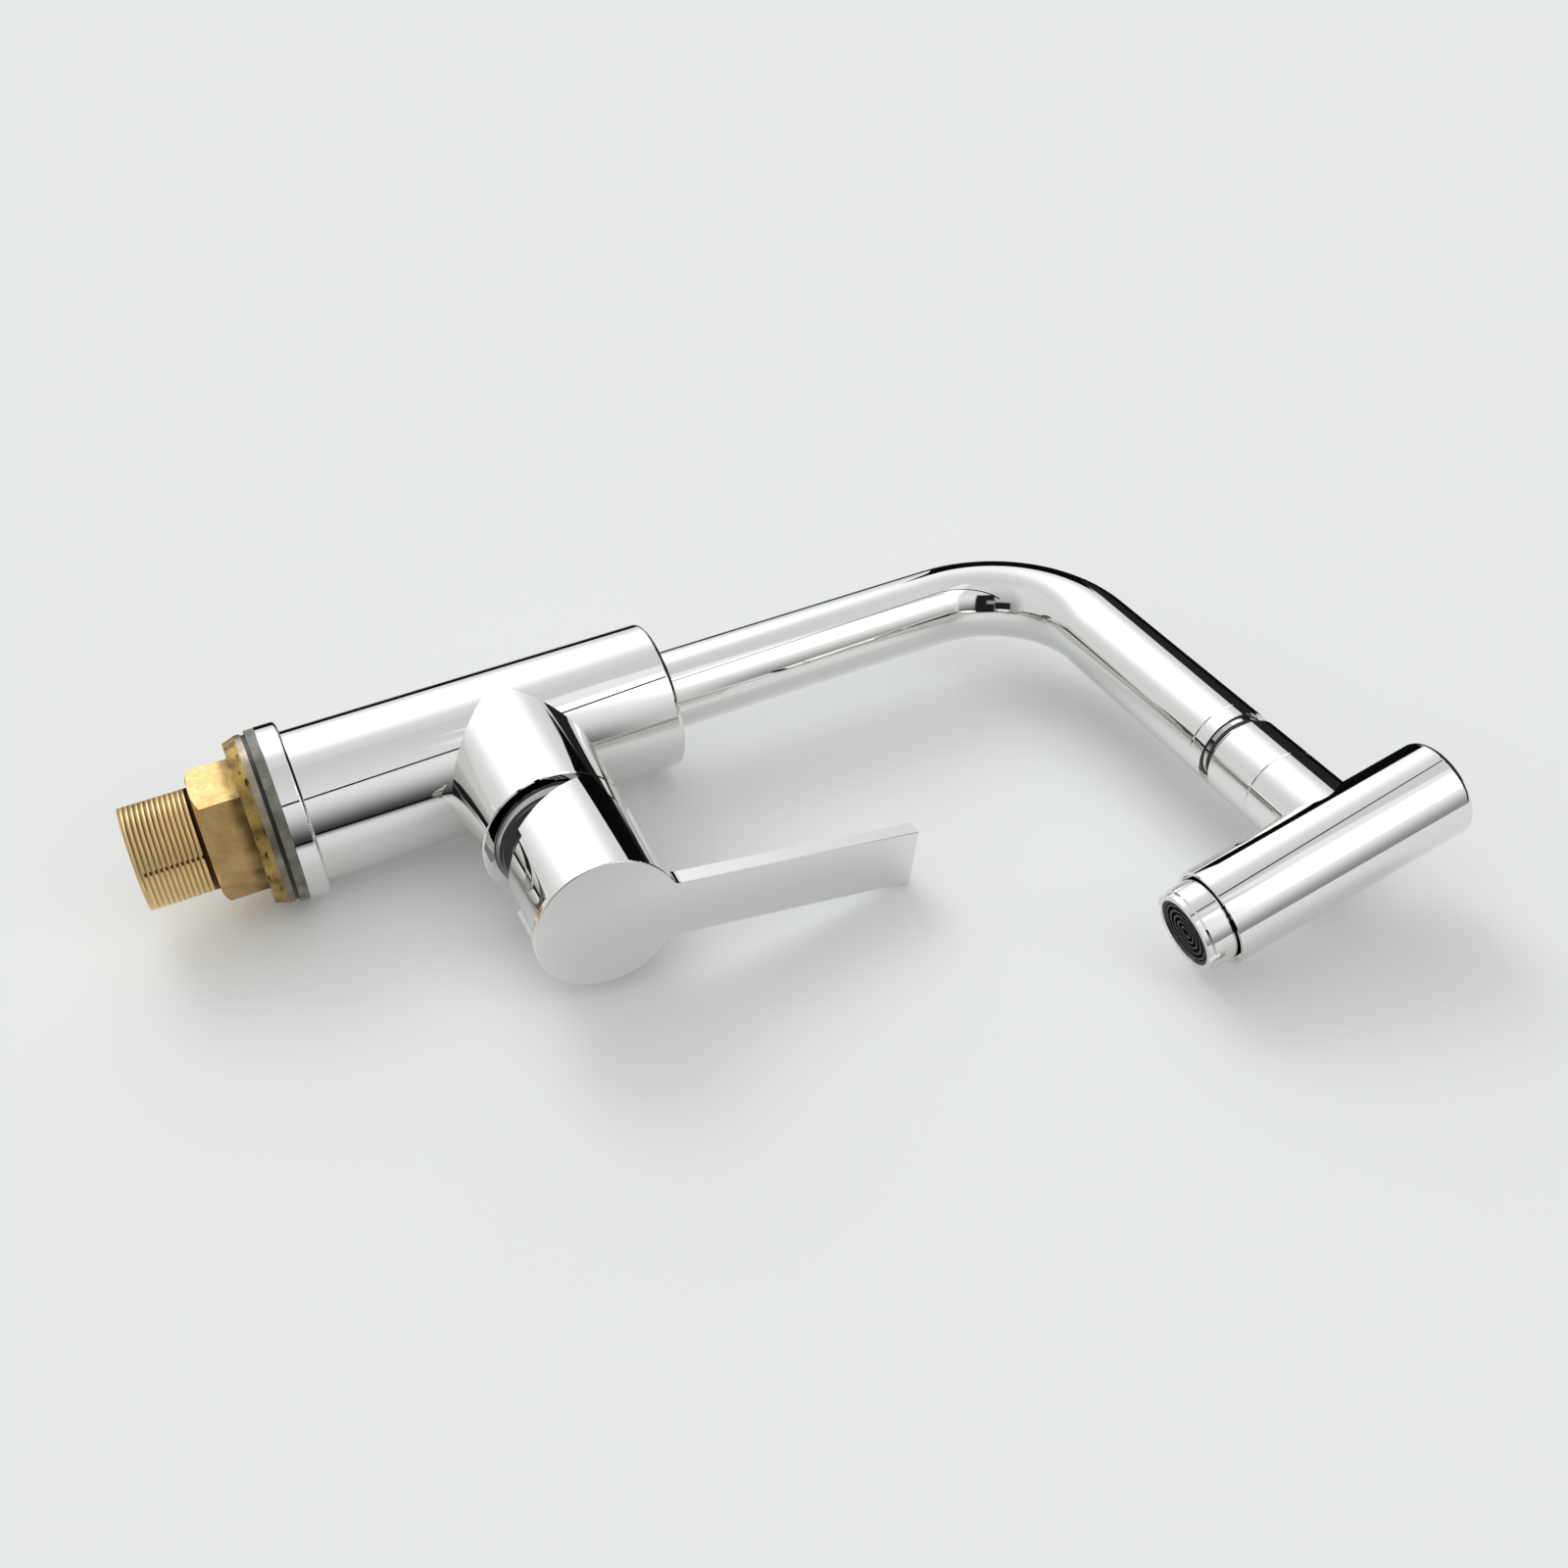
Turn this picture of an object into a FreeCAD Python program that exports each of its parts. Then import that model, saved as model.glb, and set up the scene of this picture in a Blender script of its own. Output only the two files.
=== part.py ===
"""Single-lever kitchen mixer tap with a swivelling spout and a swivelling T-shaped outlet head.

Millimetres. +Z runs up the body's axis, the origin is where that axis crosses the worktop, and
the spout's arm and the lever's branch both point to +X. Four ways of lying are used below:
upright pieces keep the tap's own axes, branch and arm pieces have their own z along +X, lever
pieces are branch pieces turned by the lever's rest angle, and head pieces hang from the arm's
end, turned about the arm.
"""
import FreeCAD
import Part
import Sketcher
import math
import os

SIZES = {
    # Worktop joint: gasket and flange above the worktop, seal, washer and nut below it
    "gasket_diameter": 54.6,
    "gasket_bore": 36.0,
    "gasket_thickness": 3.0,
    "flange_diameter": 55.0,
    "flange_thickness": 6.5,
    "flange_round": 1.2,
    "seal_diameter": 52.4,
    "seal_thickness": 1.3,
    "washer_diameter": 53.4,
    "washer_thickness": 2.0,
    "washer_play": 0.5,
    "nut_flange_diameter": 53.0,
    "nut_flange_taper": 1.2,
    "nut_flange_thickness": 3.7,
    "nut_across_flats": 36.0,
    "nut_hex_length": 13.4,
    "nut_hex_chamfer": 1.4,
    # Threaded shank that carries the nut and lets the hoses through
    "shank_diameter": 33.0,
    "shank_bore": 28.0,
    "shank_below": 41.0,
    "shank_inside": 15.0,
    "shank_end_chamfer": 1.5,
    "thread_pitch": 1.5,
    "thread_depth": 0.85,
    "thread_crest": 0.45,
    "thread_play": 0.05,
    "shank_mark_width": 0.7,
    "shank_mark_depth": 0.6,
    "shank_mark_angle": 195.0,
    # Body and its waterways
    "body_diameter": 48.0,
    "body_length": 117.5,
    "body_round": 1.6,
    "foot_diameter": 44.0,
    "fit_play": 0.1,
    "inlet_bore": 9.0,
    "inlet_depth": 12.0,
    "inlet_spacing": 15.0,
    "waterway_bore": 6.5,
    "outlet_bore": 7.0,
    "outlet_setback": 6.0,
    # Side branch and the chamber for a 35 mm cartridge
    "branch_height": 74.0,
    "branch_root_diameter": 47.6,
    "branch_diameter": 45.4,
    "branch_reach": 52.0,
    "branch_chamfer": 0.4,
    "chamber_floor": 20.0,
    "ring_nut_bore": 38.0,
    # Cartridge, stacked outwards from the chamber's floor
    "cartridge_diameter": 35.0,
    "cartridge_base_thickness": 7.0,
    "inlet_port_rise": 5.0,
    "inlet_port_side": 5.5,
    "mixed_port_drop": 4.2,
    "port_bore": 4.4,
    "port_seal_section": 1.8,
    "port_seal_radius": 4.0,
    "cavity_diameter": 26.6,
    "fixed_disc_thickness": 3.5,
    "disc_gap": 0.05,
    "moving_disc_diameter": 20.0,
    "moving_disc_thickness": 2.45,
    "mixing_recess": 1.2,
    "mixing_bore": 9.8,
    "mixing_tail_bore": 6.0,
    "mixing_tail_drop": 5.2,
    "carrier_thickness": 5.0,
    "carrier_pocket_bore": 5.6,
    "carrier_pocket_floor": 0.5,
    "turret_gap": 0.3,
    "turret_length": 5.7,
    "turret_neck_diameter": 20.8,
    "turret_neck_length": 5.0,
    "turret_slot_back": 7.8,
    "turret_slot_front": 5.4,
    "lip_play": 0.3,
    "lip_thickness": 1.8,
    "pivot_reach": 43.0,
    "pivot_pin_diameter": 4.0,
    "pivot_pin_length": 20.4,
    "pivot_play": 0.05,
    "running_play": 0.1,
    "spindle_side": 8.0,
    "spindle_root": 3.0,
    "spindle_arm": 6.9,
    "spindle_neck_diameter": 3.2,
    "spindle_ball_diameter": 4.8,
    "spindle_reach": 84.0,
    "ring_nut_thickness": 4.0,
    "ring_nut_hole": 23.2,
    "ring_nut_hex": 30.0,
    "ring_nut_hex_length": 3.0,
    "dome_radius": 21.4,
    "dome_wall": 1.0,
    "dome_opening": 27.0,
    "dome_skirt_length": 1.7,
    # Lever: cap, blade and the recess at its back
    "lever_rest_angle": 10.0,
    "cap_diameter": 43.0,
    "cap_foot_diameter": 45.4,
    "cap_gap": 0.8,
    "cap_reach": 94.5,
    "cap_cavity_radius": 22.0,
    "cap_cut_start": 8.4,
    "cap_cut_rise": 14.2,
    "cap_face_thickness": 3.0,
    "cap_wall": 4.1,
    "boss_diameter": 17.0,
    "spindle_socket_depth": 21.0,
    "recess_depth": 2.1,
    "recess_sweep": 86.0,
    "recess_land": 1.8,
    "blade_width": 19.0,
    "blade_thickness": 5.2,
    "blade_length": 98.0,
    "blade_root_round": 3.5,
    "lever_edge_round": 0.35,
    "lever_screw_reach": 76.0,
    "lever_screw_diameter": 5.0,
    "lever_screw_length": 8.0,
    # Spout: its stem turns in the body's socket on two bushes
    "tube_diameter": 26.0,
    "tube_wall": 1.3,
    "arm_height": 270.0,
    "bend_radius": 40.0,
    "arm_reach": 110.0,
    "socket_depth": 30.0,
    "socket_bore": 27.0,
    "stem_floor_gap": 1.0,
    "stem_length": 16.5,
    "stem_plug_length": 10.0,
    "stem_bore": 18.0,
    "stem_neck_diameter": 22.2,
    "lower_bush_height": 2.2,
    "upper_bush_height": 12.5,
    "upper_bush_diameter": 30.0,
    "spout_ring_section": 2.4,
    "spout_ring_lower": 4.4,
    "spout_ring_spacing": 3.2,
    "retainer_groove_height": 11.5,
    "retainer_groove_width": 3.6,
    "retainer_diameter": 5.0,
    "retainer_length": 9.5,
    "retainer_point_diameter": 3.0,
    "retainer_point_length": 2.3,
    "retainer_inset": 1.0,
    "key_across_flats": 2.5,
    "key_depth": 2.5,
    # Joint between the arm and the head
    "collar_plug_length": 7.0,
    "collar_length": 5.2,
    "seam_chamfer": 0.2,
    "swivel_step_diameter": 22.0,
    "swivel_step_length": 1.0,
    "swivel_washer_diameter": 22.6,
    "swivel_washer_thickness": 1.0,
    "spigot_diameter": 18.0,
    "spigot_bore": 12.0,
    "spigot_head_diameter": 22.6,
    "spigot_head_length": 2.2,
    "sleeve_lip_length": 9.7,
    "sleeve_length": 18.7,
    "sleeve_wall": 1.3,
    "sleeve_chamfer": 1.2,
    "swivel_ring_section": 1.7,
    "swivel_ring_place": 4.4,
    # Outlet head
    "head_turn": 12.0,
    "head_diameter": 29.0,
    "head_above": 34.0,
    "head_below": 45.0,
    "head_round": 2.0,
    "neck_length": 27.0,
    "neck_plug_length": 6.0,
    "neck_bore": 14.0,
    "head_cavity_bore": 21.0,
    "head_cavity_top": 8.0,
    "head_mouth_bore": 26.8,
    "head_mouth_depth": 2.5,
    "head_thread_bore": 23.9,
    "head_thread_depth": 11.0,
    # Aerator that closes the head's outlet
    "aerator_drop": 8.9,
    "aerator_diameter": 25.0,
    "aerator_lip_step": 0.5,
    "aerator_lip_height": 1.4,
    "aerator_bore": 20.4,
    "aerator_throat": 19.2,
    "aerator_throat_depth": 6.8,
    "aerator_washer_thickness": 1.5,
    "aerator_washer_bore": 17.0,
    "notch_width": 2.4,
    "notch_height": 4.4,
    "notch_depth": 1.3,
    "insert_inset": 0.4,
    "insert_height": 15.6,
    "insert_ridge": 0.6,
    "insert_ridge_pitch": 1.7,
    "insert_groove_depth": 1.3,
    "jet_bore": 0.9,
    "screen_thickness": 0.4,
    "screen_hole": 2.2,
    "screen_inner_ring": 7.0,
    "screen_outer_ring": 13.6,
}
INSERT_RIDGES = 5
JETS_PER_GROOVE = (6, 10, 14, 18)
INNER_SCREEN_HOLES = 6
OUTER_SCREEN_HOLES = 12
NOTCHES = 2
CUT_MARGIN = 1.0
QUARTER_TURN = 90.0

doc = FreeCAD.newDocument("mixer_tap")
sheet = doc.addObject("Spreadsheet::Sheet", "Sizes")
pieces = []


def fill_sheet():
    """Write every driving size into its own cell, with its name as the cell's alias."""
    for row, (name, number) in enumerate(SIZES.items(), start=1):
        sheet.set(f"A{row}", name)
        sheet.set(f"B{row}", str(number))
        sheet.setAlias(f"B{row}", name)
    doc.recompute()


class Size:
    """A length that knows its value now and the expression that keeps it up to date."""

    def __init__(self, value, text):
        self.value = value
        self.text = text

    def __add__(self, other):
        other = as_size(other)
        return Size(self.value + other.value, f"({self.text} + {other.text})")

    def __sub__(self, other):
        other = as_size(other)
        return Size(self.value - other.value, f"({self.text} - {other.text})")

    def __mul__(self, other):
        other = as_size(other)
        return Size(self.value * other.value, f"({self.text} * {other.text})")

    def __truediv__(self, other):
        other = as_size(other)
        return Size(self.value / other.value, f"({self.text} / {other.text})")

    def __neg__(self):
        return Size(-self.value, f"(0 - {self.text})")


def as_size(number):
    """A plain number as a Size, so that the two can be mixed."""
    return number if isinstance(number, Size) else Size(float(number), repr(float(number)))


def size(name):
    """The driving size with this name."""
    return Size(float(sheet.get(name)), f"Sizes.{name}")


def root_of_squares(long_side, short_side):
    """The third side of a right-angled triangle."""
    value = math.sqrt(long_side.value ** 2 - short_side.value ** 2)
    return Size(value, f"sqrt({long_side.text} ^ 2 - {short_side.text} ^ 2)")


def bind(item, place, amount):
    """Tie one property of a feature to a size."""
    item.setExpression(place, as_size(amount).text)


def new_body(name):
    """A PartDesign body that becomes the piece with this name."""
    body = doc.addObject("PartDesign::Body", name)
    body.Label = name
    pieces.append(body)
    return body


def origin_item(body, role):
    """One of the body's own base planes or axes."""
    return next(item for item in body.Origin.OriginFeatures if item.Role == role)


def new_sketch(body, name, role="XZ_Plane", lift=0, rise=0):
    """A sketch on a base plane, lifted along its normal or raised along its own y."""
    sketch = body.newObject("Sketcher::SketchObject", name)
    sketch.AttachmentSupport = [(origin_item(body, role), "")]
    sketch.MapMode = "FlatFace"
    shift = FreeCAD.Vector(0, as_size(rise).value, as_size(lift).value)
    sketch.AttachmentOffset = FreeCAD.Placement(shift, FreeCAD.Rotation())
    if isinstance(lift, Size):
        bind(sketch, "AttachmentOffset.Base.z", lift)
    if isinstance(rise, Size):
        bind(sketch, "AttachmentOffset.Base.y", rise)
    return sketch


def tie(sketch, kind, *where, amount):
    """One dimension of a sketch, bound to its size."""
    index = sketch.addConstraint(Sketcher.Constraint(kind, *where, as_size(amount).value))
    bind(sketch, f"Constraints[{index}]", amount)


def pin_point(sketch, item, end, across, along):
    """Fix a point of a sketch by its two distances from the sketch's origin."""
    for kind, axis, amount in (("DistanceX", -2, across), ("DistanceY", -1, along)):
        if isinstance(amount, Size):
            tie(sketch, kind, -1, 1, item, end, amount=amount)
        else:
            sketch.addConstraint(Sketcher.Constraint("PointOnObject", item, end, axis))


def flat(point):
    """A sketch point as a vector."""
    return FreeCAD.Vector(as_size(point[0]).value, as_size(point[1]).value, 0)


def draw_outline(sketch, points):
    """A closed, straight-sided outline through points that are pinned to the sheet."""
    ends = points[1:] + points[:1]
    items = [sketch.addGeometry(Part.LineSegment(flat(a), flat(b)), False) for a, b in zip(points, ends)]
    for item, following in zip(items, items[1:] + items[:1]):
        sketch.addConstraint(Sketcher.Constraint("Coincident", item, 2, following, 1))
    for item, (across, along) in zip(items, points):
        pin_point(sketch, item, 1, across, along)
    return items


def draw_circle(sketch, diameter, across=0, along=0):
    """A circle pinned by its centre and its diameter."""
    radius = as_size(diameter) / 2
    circle = Part.Circle(flat((across, along)), FreeCAD.Vector(0, 0, 1), radius.value)
    item = sketch.addGeometry(circle, False)
    pin_point(sketch, item, 3, across, along)
    tie(sketch, "Radius", item, amount=radius)
    return item


def draw_hexagon(sketch, across_flats):
    """A hexagon with two corners on the sketch's x axis."""
    corner = across_flats / math.sqrt(3)
    side = across_flats / 2
    half = corner / 2
    points = [(corner, 0), (half, side), (-half, side), (-corner, 0), (-half, -side), (half, -side)]
    return draw_outline(sketch, points)


def turn_feature(body, name, sketch, cut=False, axis="V_Axis", sweep=None):
    """Turn a sketch about one of its axes, to add or to cut."""
    kind = "PartDesign::Groove" if cut else "PartDesign::Revolution"
    feature = body.newObject(kind, name)
    feature.Profile = sketch
    feature.ReferenceAxis = (sketch, [axis])
    feature.Angle = 360.0
    if sweep is not None:
        feature.Midplane = True
        feature.Angle = sweep.value
        bind(feature, "Angle", sweep)
    body.Tip = feature
    return feature


def push_feature(body, name, sketch, length, cut=False, reverse=False, both_ways=False):
    """Pad or pocket a sketch along its normal; a pocket runs the way a pad would."""
    feature = body.newObject("PartDesign::Pocket" if cut else "PartDesign::Pad", name)
    feature.Profile = sketch
    feature.Type = 0
    feature.Midplane = both_ways
    feature.Reversed = not reverse if cut else reverse
    feature.Length = as_size(length).value
    bind(feature, "Length", length)
    body.Tip = feature
    return feature


def turned_piece(name, points):
    """A piece turned on a lathe: an outline of (radius, height) points about its own z."""
    body = new_body(name)
    sketch = new_sketch(body, name + "_outline")
    draw_outline(sketch, points)
    turn_feature(body, name + "_turned", sketch)
    return body


def ring_points(inner, outer, low, high):
    """The outline of a plain ring or, with no bore, of a plain disc."""
    return [(inner, low), (outer, low), (outer, high), (inner, high)]


def edge_names(feature, wanted):
    """The names of a feature's edges that pass a test."""
    doc.recompute()
    return [f"Edge{n}" for n, edge in enumerate(feature.Shape.Edges, start=1) if wanted(edge)]


def is_ring(edge, radius, height, axis="z"):
    """Whether an edge is a whole circle of this radius at this height."""
    curve = edge.Curve
    if not isinstance(curve, Part.Circle) or not edge.isClosed():
        return False
    return abs(curve.Radius - radius.value) < 1e-4 and abs(getattr(curve.Center, axis) - height.value) < 1e-4


def soften(body, name, feature, wanted, amount, chamfer=False):
    """Round or chamfer the edges that pass a test."""
    names = edge_names(feature, wanted)
    kind, place = ("PartDesign::Chamfer", "Size") if chamfer else ("PartDesign::Fillet", "Radius")
    softened = body.newObject(kind, name)
    softened.Base = (feature, names)
    bind(softened, place, amount)
    body.Tip = softened
    return softened


def repeat_round(body, name, feature, count):
    """Copies of a feature, evenly spaced round the body's z axis."""
    pattern = body.newObject("PartDesign::PolarPattern", name)
    pattern.Originals = [feature]
    pattern.Axis = (origin_item(body, "Z_Axis"), [""])
    pattern.Angle = 360.0
    pattern.Occurrences = count
    body.Tip = pattern
    return pattern


def place(item, rotation=None, across=0, up=0):
    """Set a piece's placement: its turn, and its origin's distance along X and Z."""
    spot = FreeCAD.Vector(as_size(across).value, 0, as_size(up).value)
    item.Placement = FreeCAD.Placement(spot, rotation or FreeCAD.Rotation())
    if isinstance(across, Size):
        bind(item, "Placement.Base.x", across)
    if isinstance(up, Size):
        bind(item, "Placement.Base.z", up)


def outward_turn():
    """The turn that lays a piece's z along +X, with its x pointing up."""
    return FreeCAD.Rotation(FreeCAD.Vector(1, 0, 1), 180)


def about_x(angle):
    """A turn about +X by a size in degrees."""
    return FreeCAD.Rotation(FreeCAD.Vector(1, 0, 0), angle.value)


def worktop_joint():
    """Gasket, flange, seal, washer and nut, from the worktop upwards and downwards."""
    thread_play = size("thread_play")
    shank = size("shank_diameter") / 2
    gasket_top = size("gasket_thickness")
    flange_top = gasket_top + size("flange_thickness")

    bore = size("gasket_bore") / 2
    edge = size("gasket_diameter") / 2
    turned_piece("base_gasket", ring_points(bore, edge, 0, gasket_top))

    bore = size("foot_diameter") / 2 + size("fit_play")
    edge = size("flange_diameter") / 2
    flange = turned_piece("base_flange", ring_points(bore, edge, gasket_top, flange_top))
    soften(flange, "flange_rim", flange.Tip, lambda e: is_ring(e, edge, flange_top), size("flange_round"))

    bore = shank + size("washer_play")
    seal_low = -size("seal_thickness")
    edge = size("seal_diameter") / 2
    turned_piece("under_deck_seal", ring_points(bore, edge, seal_low, 0))

    washer_low = seal_low - size("washer_thickness")
    edge = size("washer_diameter") / 2
    turned_piece("clamp_washer", ring_points(bore, edge, washer_low, seal_low))

    bore = shank + thread_play
    edge = size("nut_flange_diameter") / 2
    flange_low = washer_low - size("nut_flange_thickness")
    hex_low = flange_low - size("nut_hex_length")
    low_edge = edge - size("nut_flange_taper")
    points = [(bore, flange_low), (low_edge, flange_low), (edge, washer_low), (bore, washer_low)]
    nut = turned_piece("lock_nut", points)
    sketch = new_sketch(nut, "lock_nut_hex_outline", "XY_Plane", lift=flange_low)
    draw_hexagon(sketch, size("nut_across_flats"))
    draw_circle(sketch, bore * 2)
    push_feature(nut, "lock_nut_hex", sketch, size("nut_hex_length"), reverse=True)
    sketch = new_sketch(nut, "lock_nut_corner_outline")
    flat_radius = size("nut_across_flats") / 2
    corner = flat_radius * 1.3
    chamfer = size("nut_hex_chamfer")
    cone_top = hex_low + chamfer * (corner - flat_radius) / (flat_radius * (2 / math.sqrt(3) - 1))
    past = hex_low - CUT_MARGIN
    draw_outline(sketch, [(flat_radius, hex_low), (flat_radius, past), (corner, past), (corner, cone_top)])
    turn_feature(nut, "lock_nut_corners", sketch, cut=True)


def threaded_shank():
    """Hollow shank: a fine thread below the worktop, a plain end screwed into the body."""
    outer = size("shank_diameter") / 2
    bore = size("shank_bore") / 2
    low = -size("shank_below")
    top = size("gasket_thickness") + size("shank_inside")
    chamfer = size("shank_end_chamfer")
    points = [(bore, low), (outer - chamfer, low), (outer, low + chamfer), (outer, top), (bore, top)]
    body = turned_piece("threaded_shank", points)

    pitch = size("thread_pitch")
    slope = (pitch - size("thread_crest")) / 2
    start = low + chamfer + size("thread_crest")
    over = outer + CUT_MARGIN
    reach = slope * CUT_MARGIN / size("thread_depth")
    root = outer - size("thread_depth")
    sketch = new_sketch(body, "thread_groove_outline")
    draw_outline(sketch, [(root, start + slope), (over, start - reach), (over, start + slope * 2 + reach)])
    groove = turn_feature(body, "thread_groove", sketch, cut=True)

    length = top - size("shank_inside") - start
    count = int(length.value / pitch.value)
    thread = body.newObject("PartDesign::LinearPattern", "thread")
    thread.Originals = [groove]
    thread.Direction = (origin_item(body, "Z_Axis"), [""])
    thread.Occurrences = count
    thread.Length = (pitch * (count - 1)).value
    bind(thread, "Length", pitch * (count - 1))
    body.Tip = thread

    sketch = new_sketch(body, "shank_mark_outline", "XY_Plane", lift=low)
    half = size("shank_mark_width") / 2
    deep = outer - size("shank_mark_depth")
    draw_outline(sketch, [(deep, -half), (over, -half), (over, half), (deep, half)])
    turn = FreeCAD.Rotation(FreeCAD.Vector(0, 0, 1), size("shank_mark_angle").value)
    offset = sketch.AttachmentOffset
    sketch.AttachmentOffset = FreeCAD.Placement(offset.Base, turn)
    push_feature(body, "shank_mark", sketch, size("shank_below"), cut=True)


def tap_body():
    """Cast body: foot, column, side branch, cartridge chamber, waterways and spout socket."""
    foot = size("foot_diameter") / 2
    outer = size("body_diameter") / 2
    foot_low = size("gasket_thickness")
    shoulder = foot_low + size("flange_thickness")
    top = shoulder + size("body_length")
    points = [(0, foot_low), (foot, foot_low), (foot, shoulder), (outer, shoulder), (outer, top), (0, top)]
    body = turned_piece("tap_body", points)
    soften(body, "tap_body_round", body.Tip, lambda e: is_ring(e, outer, top), size("body_round"))

    mouth = size("branch_reach")
    root = size("branch_root_diameter") / 2
    radius = size("branch_diameter") / 2
    sketch = new_sketch(body, "branch_outline", rise=size("branch_height"))
    draw_outline(sketch, [(0, 0), (mouth, 0), (mouth, radius), (0, root)])
    branch = turn_feature(body, "branch", sketch, axis="H_Axis")
    chamfer = size("branch_chamfer")
    soften(body, "branch_rim", branch, lambda e: is_ring(e, radius, mouth, "x"), chamfer, True)

    cut_chamber(body, mouth)
    floor = cut_shank_socket(body, foot_low)
    socket_floor = cut_spout_socket(body, top, outer)
    cut_inlets(body, floor)
    cut_outlet(body, socket_floor)


def cut_chamber(body, mouth):
    """The cartridge's chamber in the branch, wider at its mouth for the ring nut."""
    floor = size("chamber_floor")
    chamber = size("cartridge_diameter") / 2 + size("fit_play")
    seat = cartridge_top()
    wide = size("ring_nut_bore") / 2
    past = mouth + CUT_MARGIN
    sketch = new_sketch(body, "chamber_outline", rise=size("branch_height"))
    draw_outline(sketch, [(floor, 0), (floor, chamber), (seat, chamber), (seat, wide), (past, wide),
                          (past, 0)])
    turn_feature(body, "chamber", sketch, cut=True, axis="H_Axis")


def cut_shank_socket(body, foot_low):
    """The socket that the shank is screwed into; gives back its floor's height."""
    floor = foot_low + size("shank_inside")
    radius = size("shank_diameter") / 2 + size("thread_play")
    low = foot_low - CUT_MARGIN
    sketch = new_sketch(body, "shank_socket_outline")
    draw_outline(sketch, [(0, low), (radius, low), (radius, floor), (0, floor)])
    turn_feature(body, "shank_socket", sketch, cut=True)
    return floor


def cut_spout_socket(body, top, outer):
    """The stepped socket for the spout's stem, with its screw hole; gives back its floor's height."""
    bush = size("upper_bush_diameter") / 2
    bush_seat = top - size("upper_bush_height")
    socket = size("socket_bore") / 2
    floor = top - size("socket_depth")
    past = top + CUT_MARGIN
    sketch = new_sketch(body, "spout_socket_outline")
    draw_outline(sketch, [(0, floor), (socket, floor), (socket, bush_seat), (bush, bush_seat), (bush, past),
                          (0, past)])
    turn_feature(body, "spout_socket", sketch, cut=True)

    height = floor + size("stem_floor_gap") + size("retainer_groove_height")
    sketch = new_sketch(body, "retainer_hole_outline", "YZ_Plane", lift=-(outer + CUT_MARGIN))
    draw_circle(sketch, size("retainer_diameter"), 0, height)
    push_feature(body, "retainer_hole", sketch, outer - socket + CUT_MARGIN * 2, cut=True)
    return floor


def cut_inlets(body, floor):
    """Two hose threads above the shank, each leading up and then out to the chamber."""
    side = size("inlet_spacing") / 2
    port_side = size("inlet_port_side")
    port_height = size("branch_height") + size("inlet_port_rise")
    for name, where, port in (("hot", side, port_side), ("cold", -side, -port_side)):
        sketch = new_sketch(body, name + "_inlet_outline", "XY_Plane", lift=floor)
        draw_circle(sketch, size("inlet_bore"), 0, where)
        push_feature(body, name + "_inlet", sketch, size("inlet_depth"), cut=True)
        sketch = new_sketch(body, name + "_rise_outline", "XY_Plane", lift=floor)
        draw_circle(sketch, size("waterway_bore"), 0, where)
        push_feature(body, name + "_rise", sketch, port_height - floor, cut=True)
        sketch = new_sketch(body, name + "_feed_outline", "YZ_Plane")
        draw_circle(sketch, size("port_bore"), port, port_height)
        push_feature(body, name + "_feed", sketch, size("chamber_floor") + CUT_MARGIN, cut=True)


def cut_outlet(body, socket_floor):
    """The mixed water's way back from the chamber and up to the spout's socket."""
    height = size("branch_height") - size("mixed_port_drop")
    setback = size("outlet_setback")
    sketch = new_sketch(body, "mixed_return_outline", "YZ_Plane", lift=-setback)
    draw_circle(sketch, size("port_bore"), 0, height)
    push_feature(body, "mixed_return", sketch, size("chamber_floor") + setback + CUT_MARGIN, cut=True)
    sketch = new_sketch(body, "mixed_rise_outline", "XY_Plane", lift=height)
    draw_circle(sketch, size("outlet_bore"), -setback, 0)
    push_feature(body, "mixed_rise", sketch, socket_floor - height + CUT_MARGIN, cut=True)


def cartridge_levels():
    """Where the cartridge's layers lie along the branch, outwards from the chamber's floor."""
    base = size("chamber_floor")
    fixed = base + size("cartridge_base_thickness")
    moving = fixed + size("fixed_disc_thickness") + size("disc_gap")
    carrier = moving + size("moving_disc_thickness")
    turret = carrier + size("carrier_thickness") + size("turret_gap")
    lip = turret + size("turret_length") + size("running_play") * 2
    return base, fixed, moving, carrier, turret, lip


def cartridge_top():
    """The cartridge housing's outer end, where the ring nut presses."""
    return cartridge_levels()[-1] + size("lip_thickness")


def branch_place(item):
    """Lay a piece along the branch."""
    place(item, outward_turn(), up=size("branch_height"))


def lever_place(item, sideways=False):
    """Lay a piece along the branch, turned with the lever; sideways, its own x points across."""
    turn = about_x(-size("lever_rest_angle")).multiply(outward_turn())
    if sideways:
        turn = turn.multiply(FreeCAD.Rotation(FreeCAD.Vector(0, 0, 1), QUARTER_TURN))
    place(item, turn, up=size("branch_height"))


def port_places():
    """The cartridge's three ports, as (up, across) in a branch piece's own x and y."""
    side = size("inlet_port_side")
    rise = size("inlet_port_rise")
    return (("hot", rise, -side), ("cold", rise, side), ("mixed", -size("mixed_port_drop"), 0))


def cut_ports(body, low, length):
    """Three straight ports through a branch piece."""
    for name, up, across in port_places():
        sketch = new_sketch(body, f"{body.Label}_{name}_port_outline", "XY_Plane", lift=low)
        draw_circle(sketch, size("port_bore"), up, across)
        push_feature(body, f"{body.Label}_{name}_port", sketch, length, cut=True)


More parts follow.
